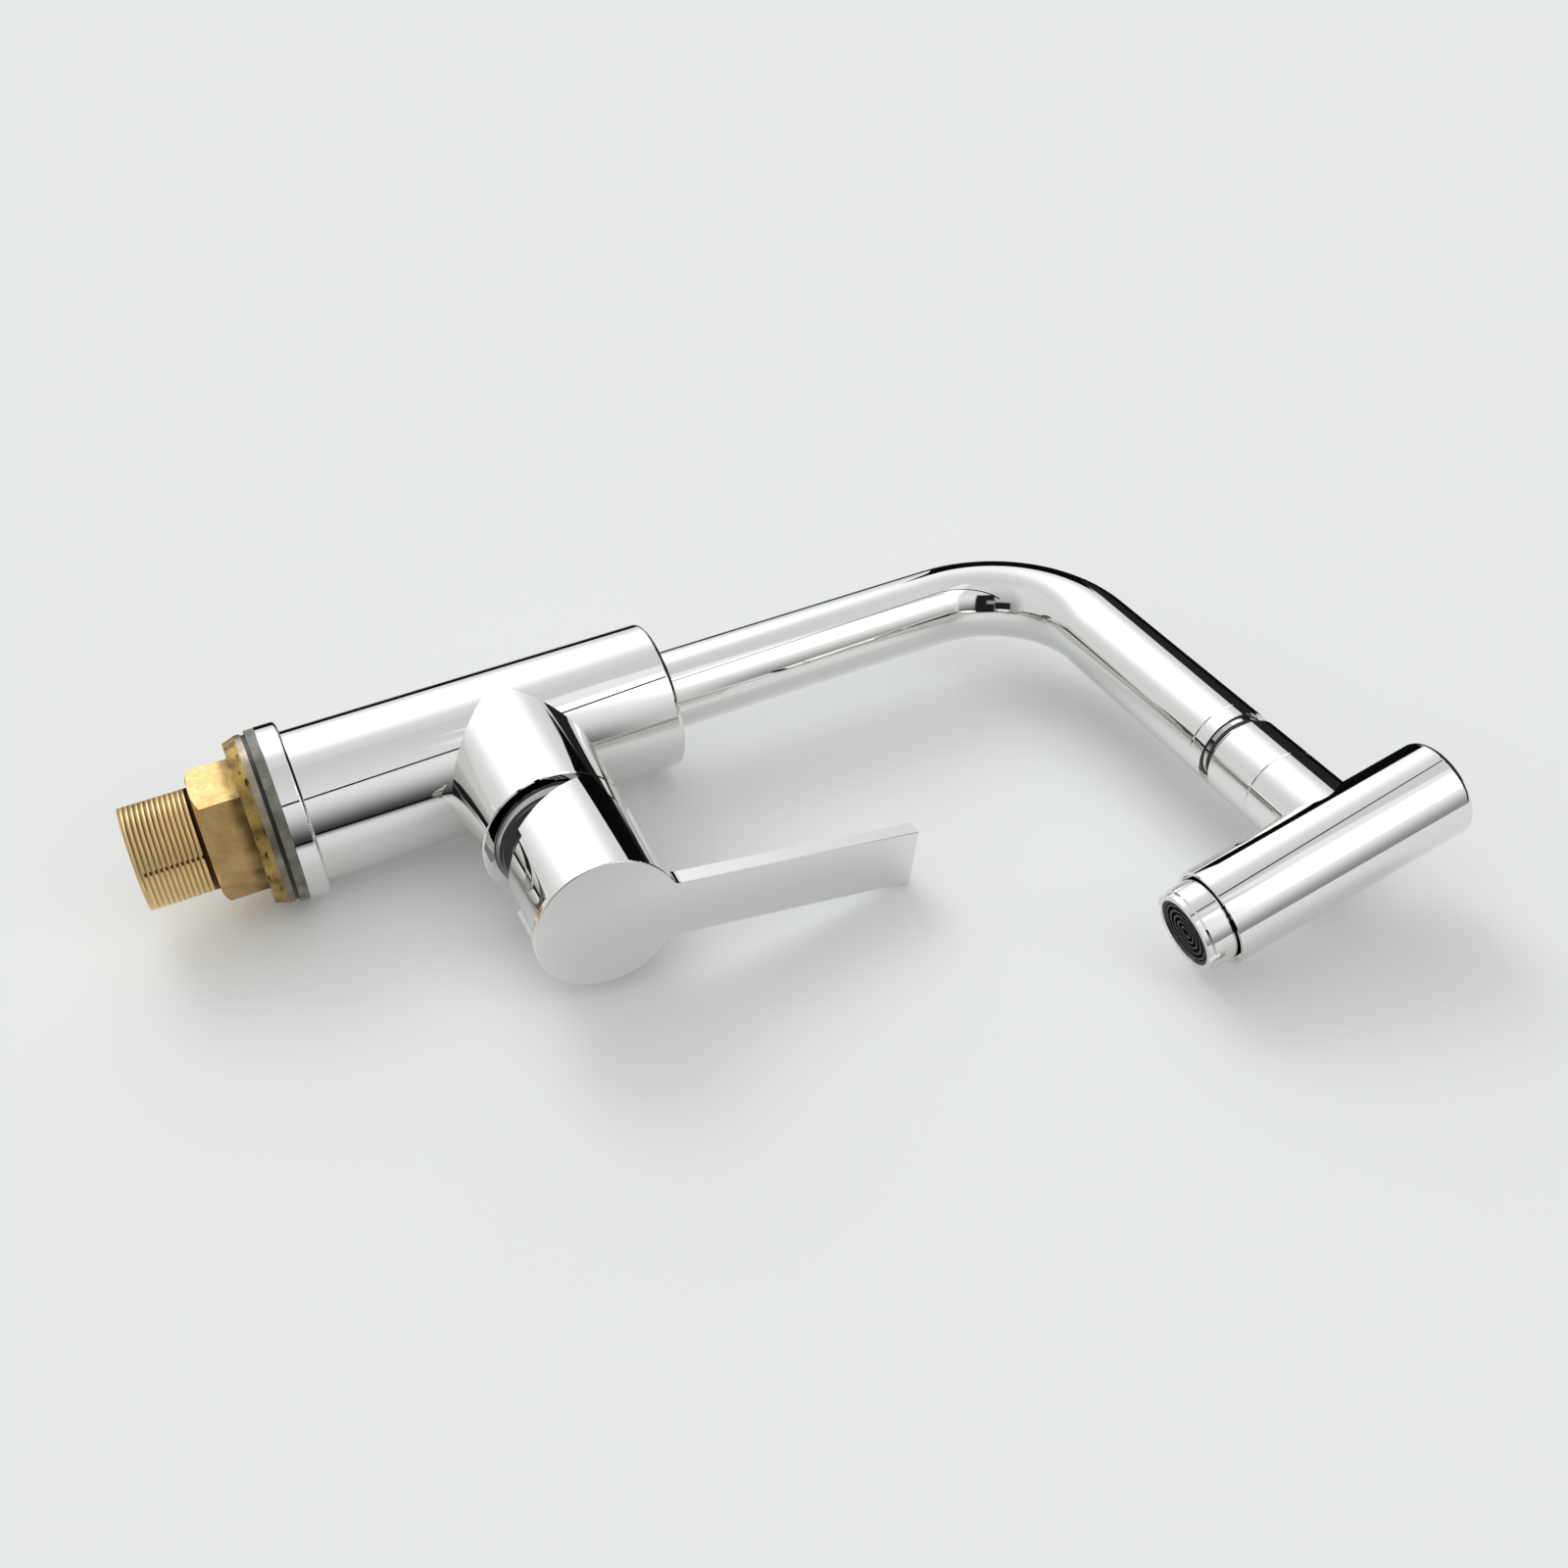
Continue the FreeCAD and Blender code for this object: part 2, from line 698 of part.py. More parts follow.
def cartridge_fixed_pieces():
    """The cartridge's base, its port seals, its fixed disc and its housing."""
    low, fixed, moving, _, _, lip = cartridge_levels()
    outer = size("cartridge_diameter") / 2
    cavity = size("cavity_diameter") / 2
    base = turned_piece("cartridge_base", ring_points(0, outer, low, fixed))
    cut_ports(base, low, fixed - low)
    section = size("port_seal_section")
    ring = size("port_seal_radius")
    for name, up, across in port_places():
        sketch = new_sketch(base, f"{name}_seal_seat_outline", "XY_Plane", lift=low)
        draw_circle(sketch, ring * 2 + section + size("fit_play"), up, across)
        push_feature(base, f"{name}_seal_seat", sketch, section, cut=True)
    branch_place(base)

    rings = []
    for name, up, across in port_places():
        torus = doc.addObject("Part::Torus", f"{name}_port_seal")
        bind(torus, "Radius1", ring)
        bind(torus, "Radius2", section / 2)
        spot = (as_size(up), as_size(across), low + section / 2)
        torus.Placement.Base = FreeCAD.Vector(*[part.value for part in spot])
        for letter, part in zip("xyz", spot):
            bind(torus, f"Placement.Base.{letter}", part)
        rings.append(torus)
    branch_place(ring_group("cartridge_seals", rings))

    disc_edge = cavity - size("fit_play")
    disc = turned_piece("fixed_disc", ring_points(0, disc_edge, fixed, moving - size("disc_gap")))
    cut_ports(disc, fixed, size("fixed_disc_thickness"))
    branch_place(disc)

    lip_bore = size("turret_neck_diameter") / 2 + size("lip_play")
    top = cartridge_top()
    points = [(cavity, fixed), (outer, fixed), (outer, top), (lip_bore, top), (lip_bore, lip), (cavity, lip)]
    branch_place(turned_piece("cartridge_housing", points))


def ring_group(name, rings):
    """Equal rings as separate solids in one piece."""
    group = doc.addObject("Part::Compound", name)
    group.Label = name
    group.Links = rings
    pieces.append(group)
    return group


def cartridge_moving_pieces():
    """The sliding disc, its carrier, the turret, its pin and the spindle."""
    _, _, moving, carrier, turret, _ = cartridge_levels()
    disc_radius = size("moving_disc_diameter") / 2
    disc = turned_piece("moving_disc", ring_points(0, disc_radius, moving, carrier))
    for name, bore, drop in (("mixing", size("mixing_bore"), 0),
                             ("mixing_tail", size("mixing_tail_bore"), -size("mixing_tail_drop"))):
        sketch = new_sketch(disc, name + "_outline", "XY_Plane", lift=moving)
        draw_circle(sketch, bore, drop)
        push_feature(disc, name + "_cut", sketch, size("mixing_recess"), cut=True)
    lever_place(disc)

    carrier_top = carrier + size("carrier_thickness")
    block = turned_piece("disc_carrier", ring_points(0, disc_radius, carrier, carrier_top))
    pocket_floor = carrier + size("carrier_pocket_floor")
    sketch = new_sketch(block, "carrier_pocket_outline", "XY_Plane", lift=pocket_floor)
    draw_circle(sketch, size("carrier_pocket_bore"))
    push_feature(block, "carrier_pocket", sketch, size("carrier_thickness"), cut=True)
    lever_place(block)

    wide = size("cavity_diameter") / 2 - size("lip_play")
    neck = size("turret_neck_diameter") / 2
    shoulder = turret + size("turret_length")
    neck_top = shoulder + size("turret_neck_length")
    body = turned_piece("spindle_turret", [(0, turret), (wide, turret), (wide, shoulder), (neck, shoulder),
                                           (neck, neck_top), (0, neck_top)])
    sketch = new_sketch(body, "turret_slot_outline", "XY_Plane", lift=turret)
    half = size("spindle_side") / 2 + size("running_play")
    back, front = -size("turret_slot_back"), size("turret_slot_front")
    draw_outline(sketch, [(back, -half), (front, -half), (front, half), (back, half)])
    push_feature(body, "turret_slot", sketch, neck_top - turret, cut=True)
    pivot = size("pivot_reach")
    sketch = new_sketch(body, "turret_pin_hole_outline")
    draw_circle(sketch, size("pivot_pin_diameter") + size("thread_play"), 0, pivot)
    push_feature(body, "turret_pin_hole", sketch, size("cavity_diameter"), cut=True, both_ways=True)
    lever_place(body)

    pin = new_body("spindle_pin")
    sketch = new_sketch(pin, "spindle_pin_outline")
    draw_circle(sketch, size("pivot_pin_diameter"), 0, pivot)
    push_feature(pin, "spindle_pin_rod", sketch, size("pivot_pin_length"), both_ways=True)
    lever_place(pin)
    cartridge_spindle(pivot)


def cartridge_spindle(pivot):
    """Square spindle with a ball foot, cross-drilled for its pin."""
    half = size("spindle_side") / 2
    root = pivot - size("spindle_root")
    ball_height = pivot - size("spindle_arm")
    bar = doc.addObject("Part::Box", "spindle_bar")
    bind(bar, "Length", half * 2)
    bind(bar, "Width", half * 2)
    bind(bar, "Height", size("spindle_reach") - root)
    bind(bar, "Placement.Base.x", -half)
    bind(bar, "Placement.Base.y", -half)
    bind(bar, "Placement.Base.z", root)
    neck = doc.addObject("Part::Cylinder", "spindle_neck")
    bind(neck, "Radius", size("spindle_neck_diameter") / 2)
    bind(neck, "Height", root - ball_height + size("fit_play"))
    bind(neck, "Placement.Base.z", ball_height)
    ball = doc.addObject("Part::Sphere", "spindle_ball")
    bind(ball, "Radius", size("spindle_ball_diameter") / 2)
    bind(ball, "Placement.Base.z", ball_height)
    whole = doc.addObject("Part::MultiFuse", "spindle_whole")
    whole.Shapes = [bar, neck, ball]
    drill = doc.addObject("Part::Cylinder", "spindle_drill")
    drill.Placement.Rotation = FreeCAD.Rotation(FreeCAD.Vector(1, 0, 0), -90)
    bind(drill, "Radius", size("pivot_pin_diameter") / 2 + size("pivot_play"))
    bind(drill, "Height", half * 2 + CUT_MARGIN * 2)
    bind(drill, "Placement.Base.y", -half - CUT_MARGIN)
    bind(drill, "Placement.Base.z", pivot)
    spindle = doc.addObject("Part::Cut", "cartridge_spindle")
    spindle.Label = "cartridge_spindle"
    spindle.Base = whole
    spindle.Tool = drill
    pieces.append(spindle)
    lever_place(spindle)


def ring_nut_and_dome():
    """The brass ring nut that holds the cartridge, and the dome that hides it."""
    low = cartridge_top()
    high = low + size("ring_nut_thickness")
    outer = size("ring_nut_bore") / 2 - size("fit_play")
    hole = size("ring_nut_hole") / 2
    nut = turned_piece("cartridge_nut", ring_points(hole, outer, low, high))
    sketch = new_sketch(nut, "cartridge_nut_hex_outline", "XY_Plane", lift=high)
    draw_hexagon(sketch, size("ring_nut_hex"))
    draw_circle(sketch, hole * 2)
    push_feature(nut, "cartridge_nut_hex", sketch, size("ring_nut_hex_length"))
    branch_place(nut)

    pivot = size("pivot_reach")
    mouth = size("branch_reach")
    radius = size("dome_radius")
    inner = radius - size("dome_wall")
    opening = size("dome_opening") / 2
    skirt_low = mouth - size("dome_skirt_length")
    skirt_inner = outer - size("dome_wall")
    rim = root_of_squares(radius, mouth - pivot)
    body = new_body("dome_cap")
    sketch = new_sketch(body, "dome_cap_outline")
    corners = [(opening, pivot + root_of_squares(radius, opening)),
               (opening, pivot + root_of_squares(inner, opening)),
               (skirt_inner, pivot + root_of_squares(inner, skirt_inner)),
               (skirt_inner, skirt_low), (outer, skirt_low), (outer, mouth), (rim, mouth)]
    draw_shell(sketch, corners, pivot, radius, inner)
    turn_feature(body, "dome_cap_turned", sketch)
    branch_place(body)


def draw_shell(sketch, corners, centre_height, outer_radius, inner_radius):
    """An outline whose first side follows the inner arc's start and whose ends lie on two arcs."""
    top_out, top_in, low_in = corners[:3]
    rim = corners[-1]
    centre = (0, centre_height)
    items = [sketch.addGeometry(Part.LineSegment(flat(top_out), flat(top_in)), False)]
    items.append(sketch.addGeometry(arc_between(centre, inner_radius, low_in, top_in), False))
    straight = corners[2:]
    for a, b in zip(straight, straight[1:]):
        items.append(sketch.addGeometry(Part.LineSegment(flat(a), flat(b)), False))
    items.append(sketch.addGeometry(arc_between(centre, outer_radius, rim, top_out), False))
    join = Sketcher.Constraint
    sketch.addConstraint(join("Coincident", items[0], 2, items[1], 2))
    sketch.addConstraint(join("Coincident", items[1], 1, items[2], 1))
    for here, after in zip(items[2:-2], items[3:-1]):
        sketch.addConstraint(join("Coincident", here, 2, after, 1))
    sketch.addConstraint(join("Coincident", items[-2], 2, items[-1], 1))
    sketch.addConstraint(join("Coincident", items[-1], 2, items[0], 1))
    for item, radius in ((items[1], inner_radius), (items[-1], outer_radius)):
        pin_point(sketch, item, 3, 0, centre_height)
        tie(sketch, "Radius", item, amount=radius)
    tie(sketch, "DistanceX", -1, 1, items[0], 1, amount=top_out[0])
    tie(sketch, "DistanceX", -1, 1, items[0], 2, amount=top_in[0])
    tie(sketch, "DistanceX", -1, 1, items[2], 1, amount=low_in[0])
    for item, (across, along) in zip(items[3:-1], straight[1:-1]):
        pin_point(sketch, item, 1, across, along)
    tie(sketch, "DistanceY", -1, 1, items[-1], 1, amount=rim[1])


def arc_between(centre, radius, start, end):
    """An arc about a centre on the sketch's y axis, counter-clockwise from start to end."""
    middle = flat(centre)
    circle = Part.Circle(middle, FreeCAD.Vector(0, 0, 1), radius.value)
    angles = [math.atan2(*(flat(point) - middle)[1::-1]) for point in (start, end)]
    return Part.ArcOfCircle(circle, *angles)


def lever_handle():
    """Lever: a hollow cap cut slantwise at its foot, a recess at its back and a flat blade."""
    outer = size("cap_diameter") / 2
    low = size("branch_reach") + size("cap_gap")
    face = size("cap_reach")
    pivot = size("pivot_reach")
    foot = size("cap_foot_diameter") / 2
    body = turned_piece("lever_handle", [(0, low), (foot, low), (outer, face), (0, face)])

    sketch = new_sketch(body, "blade_outline", "XY_Plane", lift=face - size("blade_thickness"))
    half = size("blade_width") / 2
    tip = size("blade_length")
    draw_outline(sketch, [(half, -half), (tip, -half), (tip, half), (half, half)])
    blade = push_feature(body, "blade", sketch, size("blade_thickness"))

    def is_root(edge):
        ends = [vertex.Point for vertex in edge.Vertexes]
        on_side = all(abs(abs(p.y) - half.value) < 1e-4 and 0 < p.x < outer.value for p in ends)
        return len(ends) == 2 and on_side and abs(ends[0].z - ends[1].z) > 1

    rooted = soften(body, "blade_root", blade, is_root, size("blade_root_round"))

    def is_face_edge(edge):
        return all(abs(v.Point.z - face.value) < 1e-4 for v in edge.Vertexes) and edge.Length > 1e-3

    soften(body, "lever_edge", rooted, is_face_edge, size("lever_edge_round"))

    cavity = size("cap_cavity_radius")
    sketch = new_sketch(body, "cap_cavity_outline")
    draw_half_disc(sketch, pivot, cavity)
    turn_feature(body, "cap_cavity", sketch, cut=True)

    boss = size("boss_diameter") / 2
    pocket = outer - size("cap_wall")
    roof = face - size("cap_face_thickness")
    sketch = new_sketch(body, "cap_pocket_outline")
    draw_outline(sketch, [(boss, pivot), (pocket, pivot), (pocket, roof), (boss, roof)])
    turn_feature(body, "cap_pocket", sketch, cut=True)

    socket = size("spindle_side") / 2 + size("thread_play")
    start = size("spindle_reach") - size("spindle_socket_depth") - CUT_MARGIN
    sketch = new_sketch(body, "spindle_socket_outline", "XY_Plane", lift=start)
    draw_outline(sketch, [(-socket, -socket), (socket, -socket), (socket, socket), (-socket, socket)])
    push_feature(body, "spindle_socket", sketch, size("spindle_socket_depth") + CUT_MARGIN * 2, cut=True)

    past = foot + CUT_MARGIN
    rise = size("cap_cut_rise") * (size("cap_cut_start") + past) / (size("cap_cut_start") + outer)
    sketch = new_sketch(body, "cap_cut_outline")
    draw_outline(sketch, [(size("cap_cut_start"), low), (-past, low + rise), (-past, low - CUT_MARGIN),
                          (size("cap_cut_start"), low - CUT_MARGIN)])
    push_feature(body, "cap_cut", sketch, past * 2, cut=True, both_ways=True)

    recess = outer - size("recess_depth")
    sketch = new_sketch(body, "back_recess_outline")
    top = face - size("recess_land")
    draw_outline(sketch, [(-recess, low), (-past, low), (-past, top), (-recess, top)])
    turn_feature(body, "back_recess", sketch, cut=True, sweep=size("recess_sweep"))

    diameter = size("lever_screw_diameter")
    height = size("lever_screw_reach")
    sketch = new_sketch(body, "lever_screw_hole_outline")
    draw_circle(sketch, diameter, 0, height)
    push_feature(body, "lever_screw_hole", sketch, past, cut=True)
    lever_place(body)
    length = size("lever_screw_length")
    lever_place(set_screw("lever_grub_screw", diameter, length, -(socket + length), height), sideways=True)


def draw_half_disc(sketch, centre_height, radius):
    """Half a disc against the sketch's y axis."""
    low, high = (0, centre_height - radius), (0, centre_height + radius)
    line = sketch.addGeometry(Part.LineSegment(flat(high), flat(low)), False)
    arc = sketch.addGeometry(arc_between((0, centre_height), radius, low, high), False)
    sketch.addConstraint(Sketcher.Constraint("Coincident", line, 2, arc, 1))
    sketch.addConstraint(Sketcher.Constraint("Coincident", line, 1, arc, 2))
    pin_point(sketch, arc, 3, 0, centre_height)
    tie(sketch, "Radius", arc, amount=radius)
    sketch.addConstraint(Sketcher.Constraint("PointOnObject", line, 1, -2))
    sketch.addConstraint(Sketcher.Constraint("PointOnObject", line, 2, -2))


def set_screw(name, diameter, length, start, height):
    """A hexagon-socket grub screw along the piece's own x, its socket towards -x."""
    body = new_body(name)
    sketch = new_sketch(body, name + "_outline", "YZ_Plane", lift=start)
    draw_circle(sketch, diameter - size("thread_play") * 2, 0, height)
    push_feature(body, name + "_rod", sketch, length)
    sketch = new_sketch(body, name + "_key_outline", "YZ_Plane", lift=start, rise=height)
    draw_hexagon(sketch, size("key_across_flats"))
    push_feature(body, name + "_key", sketch, size("key_depth"), cut=True)
    return body


def spout_levels():
    """Heights of the socket's floor, the stem's foot and the tube's foot."""
    top = size("gasket_thickness") + size("flange_thickness") + size("body_length")
    socket_floor = top - size("socket_depth")
    stem_low = socket_floor + size("stem_floor_gap")
    return top, socket_floor, stem_low, stem_low + size("stem_length")


def spout_tube():
    """Bent tube: up from the stem, round one bend, out along the arm."""
    _, _, _, foot = spout_levels()
    body = new_body("spout_tube")
    height = size("arm_height")
    bend = size("bend_radius")
    reach = size("arm_reach")
    profile = new_sketch(body, "tube_section", "XY_Plane", lift=foot)
    draw_circle(profile, size("tube_diameter"))
    draw_circle(profile, size("tube_diameter") - size("tube_wall") * 2)

    path = new_sketch(body, "tube_path")
    corner = flat((bend, height - bend))
    rise = path.addGeometry(Part.LineSegment(flat((0, foot)), flat((0, height - bend))), False)
    circle = Part.Circle(corner, FreeCAD.Vector(0, 0, 1), bend.value)
    turn = path.addGeometry(Part.ArcOfCircle(circle, math.pi / 2, math.pi), False)
    arm = path.addGeometry(Part.LineSegment(flat((bend, height)), flat((reach, height))), False)
    path.addConstraint(Sketcher.Constraint("Coincident", rise, 2, turn, 2))
    path.addConstraint(Sketcher.Constraint("Coincident", turn, 1, arm, 1))
    pin_point(path, rise, 1, 0, foot)
    pin_point(path, rise, 2, 0, height - bend)
    pin_point(path, arm, 1, bend, height)
    pin_point(path, arm, 2, reach, height)
    tie(path, "Radius", turn, amount=bend)
    pipe = body.newObject("PartDesign::AdditivePipe", "tube_sweep")
    pipe.Profile = profile
    pipe.Spine = path
    body.Tip = pipe
    outer = size("tube_diameter") / 2
    soften(body, "tube_seam", pipe, lambda e: is_ring(e, outer, reach, "x"), size("seam_chamfer"), True)


def spout_foot():
    """The stem below the tube, its bushes, its rings and the screw that keeps it in."""
    top, socket_floor, low, foot = spout_levels()
    tube = size("tube_diameter") / 2
    play = size("running_play")
    inside = tube - size("tube_wall") - size("thread_play")
    neck = size("stem_neck_diameter") / 2
    bore = size("stem_bore") / 2
    bush_top = low + size("lower_bush_height")
    section = size("spout_ring_section")
    groove = size("socket_bore") / 2 - play - section - size("thread_play")
    points = [(bore, low), (neck, low), (neck, bush_top), (tube, bush_top)]
    lower_ring = low + size("spout_ring_lower")
    ring_heights = [lower_ring, lower_ring + size("spout_ring_spacing")]
    half = section / 2 + size("thread_play")
    for middle in ring_heights:
        under, over = middle - half, middle + half
        points += [(tube, under), (groove, under), (groove, over), (tube, over)]
    middle = low + size("retainer_groove_height")
    half = size("retainer_groove_width") / 2
    under, over = middle - half, middle + half
    points += [(tube, under), (neck, under), (neck, over), (tube, over)]
    plug_top = foot + size("stem_plug_length")
    points += [(tube, foot), (inside, foot), (inside, plug_top), (bore, plug_top)]
    turned_piece("spout_stem", points)

    socket = size("socket_bore") / 2 - play
    turned_piece("lower_swivel_bush", ring_points(neck + size("thread_play"), socket, low, bush_top))
    bush = size("upper_bush_diameter") / 2 - size("thread_play")
    bush_low = top - size("upper_bush_height")
    turned_piece("upper_swivel_bush", ring_points(tube + play, bush, bush_low, top))

    rings = []
    for number, middle in enumerate(ring_heights, start=1):
        torus = doc.addObject("Part::Torus", f"spout_ring_{number}")
        bind(torus, "Radius1", size("socket_bore") / 2 - play - section / 2)
        bind(torus, "Radius2", section / 2)
        bind(torus, "Placement.Base.z", middle)
        rings.append(torus)
    ring_group("spout_o_rings", rings)

    start = -(size("body_diameter") / 2) + size("retainer_inset")
    height = low + size("retainer_groove_height")
    length = size("retainer_length")
    screw = set_screw("spout_retaining_screw", size("retainer_diameter"), length, start, height)
    sketch = new_sketch(screw, "retainer_point_outline", "YZ_Plane", lift=start + length)
    draw_circle(sketch, size("retainer_point_diameter"), 0, height)
    push_feature(screw, "retainer_point", sketch, size("retainer_point_length"))


def arm_place(item):
    """Lay a piece along the arm."""
    place(item, outward_turn(), up=size("arm_height"))


def head_place(item):
    """Hang a piece from the arm's end, turned about the arm."""
    reach = sleeve_levels()[-1] + size("neck_length")
    place(item, about_x(size("head_turn")), across=reach, up=size("arm_height"))


def sleeve_levels():
    """Along the arm: the collar's end, the washer's seat, the sleeve's start, shoulder and end."""
    collar_end = size("arm_reach") + size("collar_length")
    seat = collar_end + size("swivel_step_length")
    start = seat + size("swivel_washer_thickness") + size("running_play")
    shoulder = start + size("swivel_step_length")
    return collar_end, seat, start, shoulder, shoulder + size("sleeve_length")


def arm_end():
    """Collar, spigot, washer and ring on the arm, and the sleeve that turns on them."""
    collar_end, seat, sleeve_start, shoulder, sleeve_end = sleeve_levels()
    tube = size("tube_diameter") / 2
    end = size("arm_reach")
    inside = tube - size("tube_wall") - size("thread_play")
    spigot = size("spigot_diameter") / 2
    step = size("swivel_step_diameter") / 2
    play = size("running_play")
    plug = end - size("collar_plug_length")
    thread_bore = spigot + size("thread_play")
    seam = size("seam_chamfer")
    points = [(thread_bore, plug), (inside, plug), (inside, end), (tube - seam, end), (tube, end + seam),
              (tube, collar_end), (step, collar_end), (step, seat), (thread_bore, seat)]
    arm_place(turned_piece("spout_end_collar", points))

    washer_end = seat + size("swivel_washer_thickness")
    washer_edge = size("swivel_washer_diameter") / 2
    washer = turned_piece("swivel_washer", ring_points(spigot + play, washer_edge, seat, washer_end))
    arm_place(washer)

    lip_end = sleeve_start + size("sleeve_lip_length")
    chamfer = size("sleeve_chamfer")
    hollow = tube - size("sleeve_wall")
    points = [(spigot + play, sleeve_start), (step, sleeve_start), (step, shoulder),
              (tube - chamfer, shoulder), (tube, shoulder + chamfer), (tube, sleeve_end - seam),
              (tube - seam, sleeve_end), (hollow, sleeve_end), (hollow, lip_end), (spigot + play, lip_end)]
    arm_place(turned_piece("swivel_sleeve", points))

    bore = size("spigot_bore") / 2
    head = size("spigot_head_diameter") / 2
    head_start = lip_end + play
    head_end = head_start + size("spigot_head_length")
    section = size("swivel_ring_section")
    ring = sleeve_start + size("swivel_ring_place")
    half = section / 2 + size("thread_play")
    groove = spigot - section + size("thread_play")
    points = [(bore, plug), (spigot, plug), (spigot, ring - half), (groove, ring - half),
              (groove, ring + half), (spigot, ring + half), (spigot, head_start), (head, head_start),
              (head, head_end), (bore, head_end)]
    arm_place(turned_piece("swivel_spigot", points))
    torus = doc.addObject("Part::Torus", "swivel_o_ring")
    torus.Label = "swivel_o_ring"
    bind(torus, "Radius1", spigot + size("thread_play") - section / 2)
    bind(torus, "Radius2", section / 2)
    place(torus, outward_turn(), across=ring, up=size("arm_height"))
    pieces.append(torus)


def head_body():
    """T-shaped head: a closed tube across the arm's end, with its neck back to the sleeve."""
    outer = size("head_diameter") / 2
    top = size("head_above")
    low = -size("head_below")
    body = turned_piece("head_body", [(0, low), (outer, low), (outer, top), (0, top)])
    soften(body, "head_round_edge", body.Tip, lambda e: is_ring(e, outer, top), size("head_round"))
    neck = size("neck_length")
    sketch = new_sketch(body, "neck_outline", "YZ_Plane", lift=-neck)
    draw_circle(sketch, size("tube_diameter"))
    necked = push_feature(body, "neck", sketch, neck)
    radius = size("tube_diameter") / 2
    soften(body, "neck_seam", necked, lambda e: is_ring(e, radius, -neck, "x"), size("seam_chamfer"), True)
    plug = size("neck_plug_length")
    hollow = size("tube_diameter") - size("sleeve_wall") * 2 - size("thread_play") * 2
    sketch = new_sketch(body, "neck_plug_outline", "YZ_Plane", lift=-(neck + plug))
    draw_circle(sketch, hollow)
    push_feature(body, "neck_plug", sketch, plug + CUT_MARGIN)

    cavity = size("head_cavity_bore") / 2
    thread = size("head_thread_bore") / 2
    mouth = size("head_mouth_bore") / 2
    seat = low + size("head_thread_depth")
    sketch = new_sketch(body, "head_cavity_outline")
    past = low - CUT_MARGIN
    step = low + size("head_mouth_depth")
    roof = size("head_cavity_top")
    draw_outline(sketch, [(0, past), (mouth, past), (mouth, step), (thread, step), (thread, seat),
                          (cavity, seat), (cavity, roof), (0, roof)])
    turn_feature(body, "head_cavity", sketch, cut=True)
    sketch = new_sketch(body, "neck_bore_outline", "YZ_Plane", lift=-(neck + plug))
    draw_circle(sketch, size("neck_bore"))
    push_feature(body, "neck_way", sketch, neck + plug, cut=True)
    head_place(body)


def aerator():
    """Screw-in aerator: notched ring, ridged insert, screen and washer."""
    low = -size("head_below")
    outlet = low - size("aerator_drop")
    outer = size("aerator_diameter") / 2
    lip = outer - size("aerator_lip_step")
    lip_top = outlet + size("aerator_lip_height")
    thread = size("head_thread_bore") / 2 - size("thread_play")
    shoulder = low + size("head_mouth_depth")
    top = low + size("head_thread_depth") - size("aerator_washer_thickness")
    bore = size("aerator_bore") / 2
    throat = size("aerator_throat") / 2
    step = outlet + size("aerator_throat_depth")
    seat = shoulder - size("fit_play")
    points = [(bore, outlet), (lip, outlet), (lip, lip_top), (outer, lip_top + outer - lip), (outer, seat),
              (thread, seat), (thread, top), (throat, top), (throat, step), (bore, step)]
    ring = turned_piece("aerator_ring", points)
    sketch = new_sketch(ring, "notch_outline", "XY_Plane", lift=outlet)
    deep = outer - size("notch_depth")
    half = size("notch_width") / 2
    over = outer + CUT_MARGIN
    draw_outline(sketch, [(deep, -half), (over, -half), (over, half), (deep, half)])
    notch = push_feature(ring, "notch", sketch, size("notch_height"), cut=True)
    repeat_round(ring, "notches", notch, NOTCHES)
    head_place(ring)

    play = size("thread_play")
    face = outlet + size("insert_inset")
    insert_top = face + size("insert_height")
    points = [(0, insert_top), (throat - play, insert_top), (throat - play, step - play),
              (bore - play, step - play), (bore - play, face)]
    ridge = size("insert_ridge")
    pitch = size("insert_ridge_pitch")
    root = face + size("insert_groove_depth")
    for number in range(INSERT_RIDGES, 0, -1):
        outside = pitch * number + ridge / 2
        inside = pitch * number - ridge / 2
        before = bore - play - ridge * 1.5 if number == INSERT_RIDGES else pitch * (number + 1) - ridge / 2
        points += [(before, face), (before, root), (outside, root), (outside, face)]
        if number == 1:
            points += [(inside, face), (inside, root), (0, root)]
    insert = turned_piece("aerator_insert", points)
    for number, count in enumerate(JETS_PER_GROOVE, start=1):
        sketch = new_sketch(insert, f"jet_{number}_outline", "XY_Plane", lift=root)
        draw_circle(sketch, size("jet_bore"), pitch * (number + 0.5), 0)
        jet = push_feature(insert, f"jet_{number}", sketch, insert_top - root, cut=True)
        repeat_round(insert, f"jets_{number}", jet, count)
    head_place(insert)

    screen_top = insert_top + size("screen_thickness")
    mesh = turned_piece("aerator_screen", ring_points(0, throat - play, insert_top, screen_top))
    for name, ring_size, count in (("inner", size("screen_inner_ring"), INNER_SCREEN_HOLES),
                                   ("outer", size("screen_outer_ring"), OUTER_SCREEN_HOLES)):
        sketch = new_sketch(mesh, f"{name}_screen_hole_outline", "XY_Plane", lift=insert_top)
        draw_circle(sketch, size("screen_hole"), ring_size / 2, 0)
        hole = push_feature(mesh, f"{name}_screen_hole", sketch, size("screen_thickness"), cut=True)
        repeat_round(mesh, f"{name}_screen_holes", hole, count)
    head_place(mesh)

    seat = low + size("head_thread_depth")
    washer_bore = size("aerator_washer_bore") / 2
    head_place(turned_piece("aerator_washer", ring_points(washer_bore, thread, top, seat)))


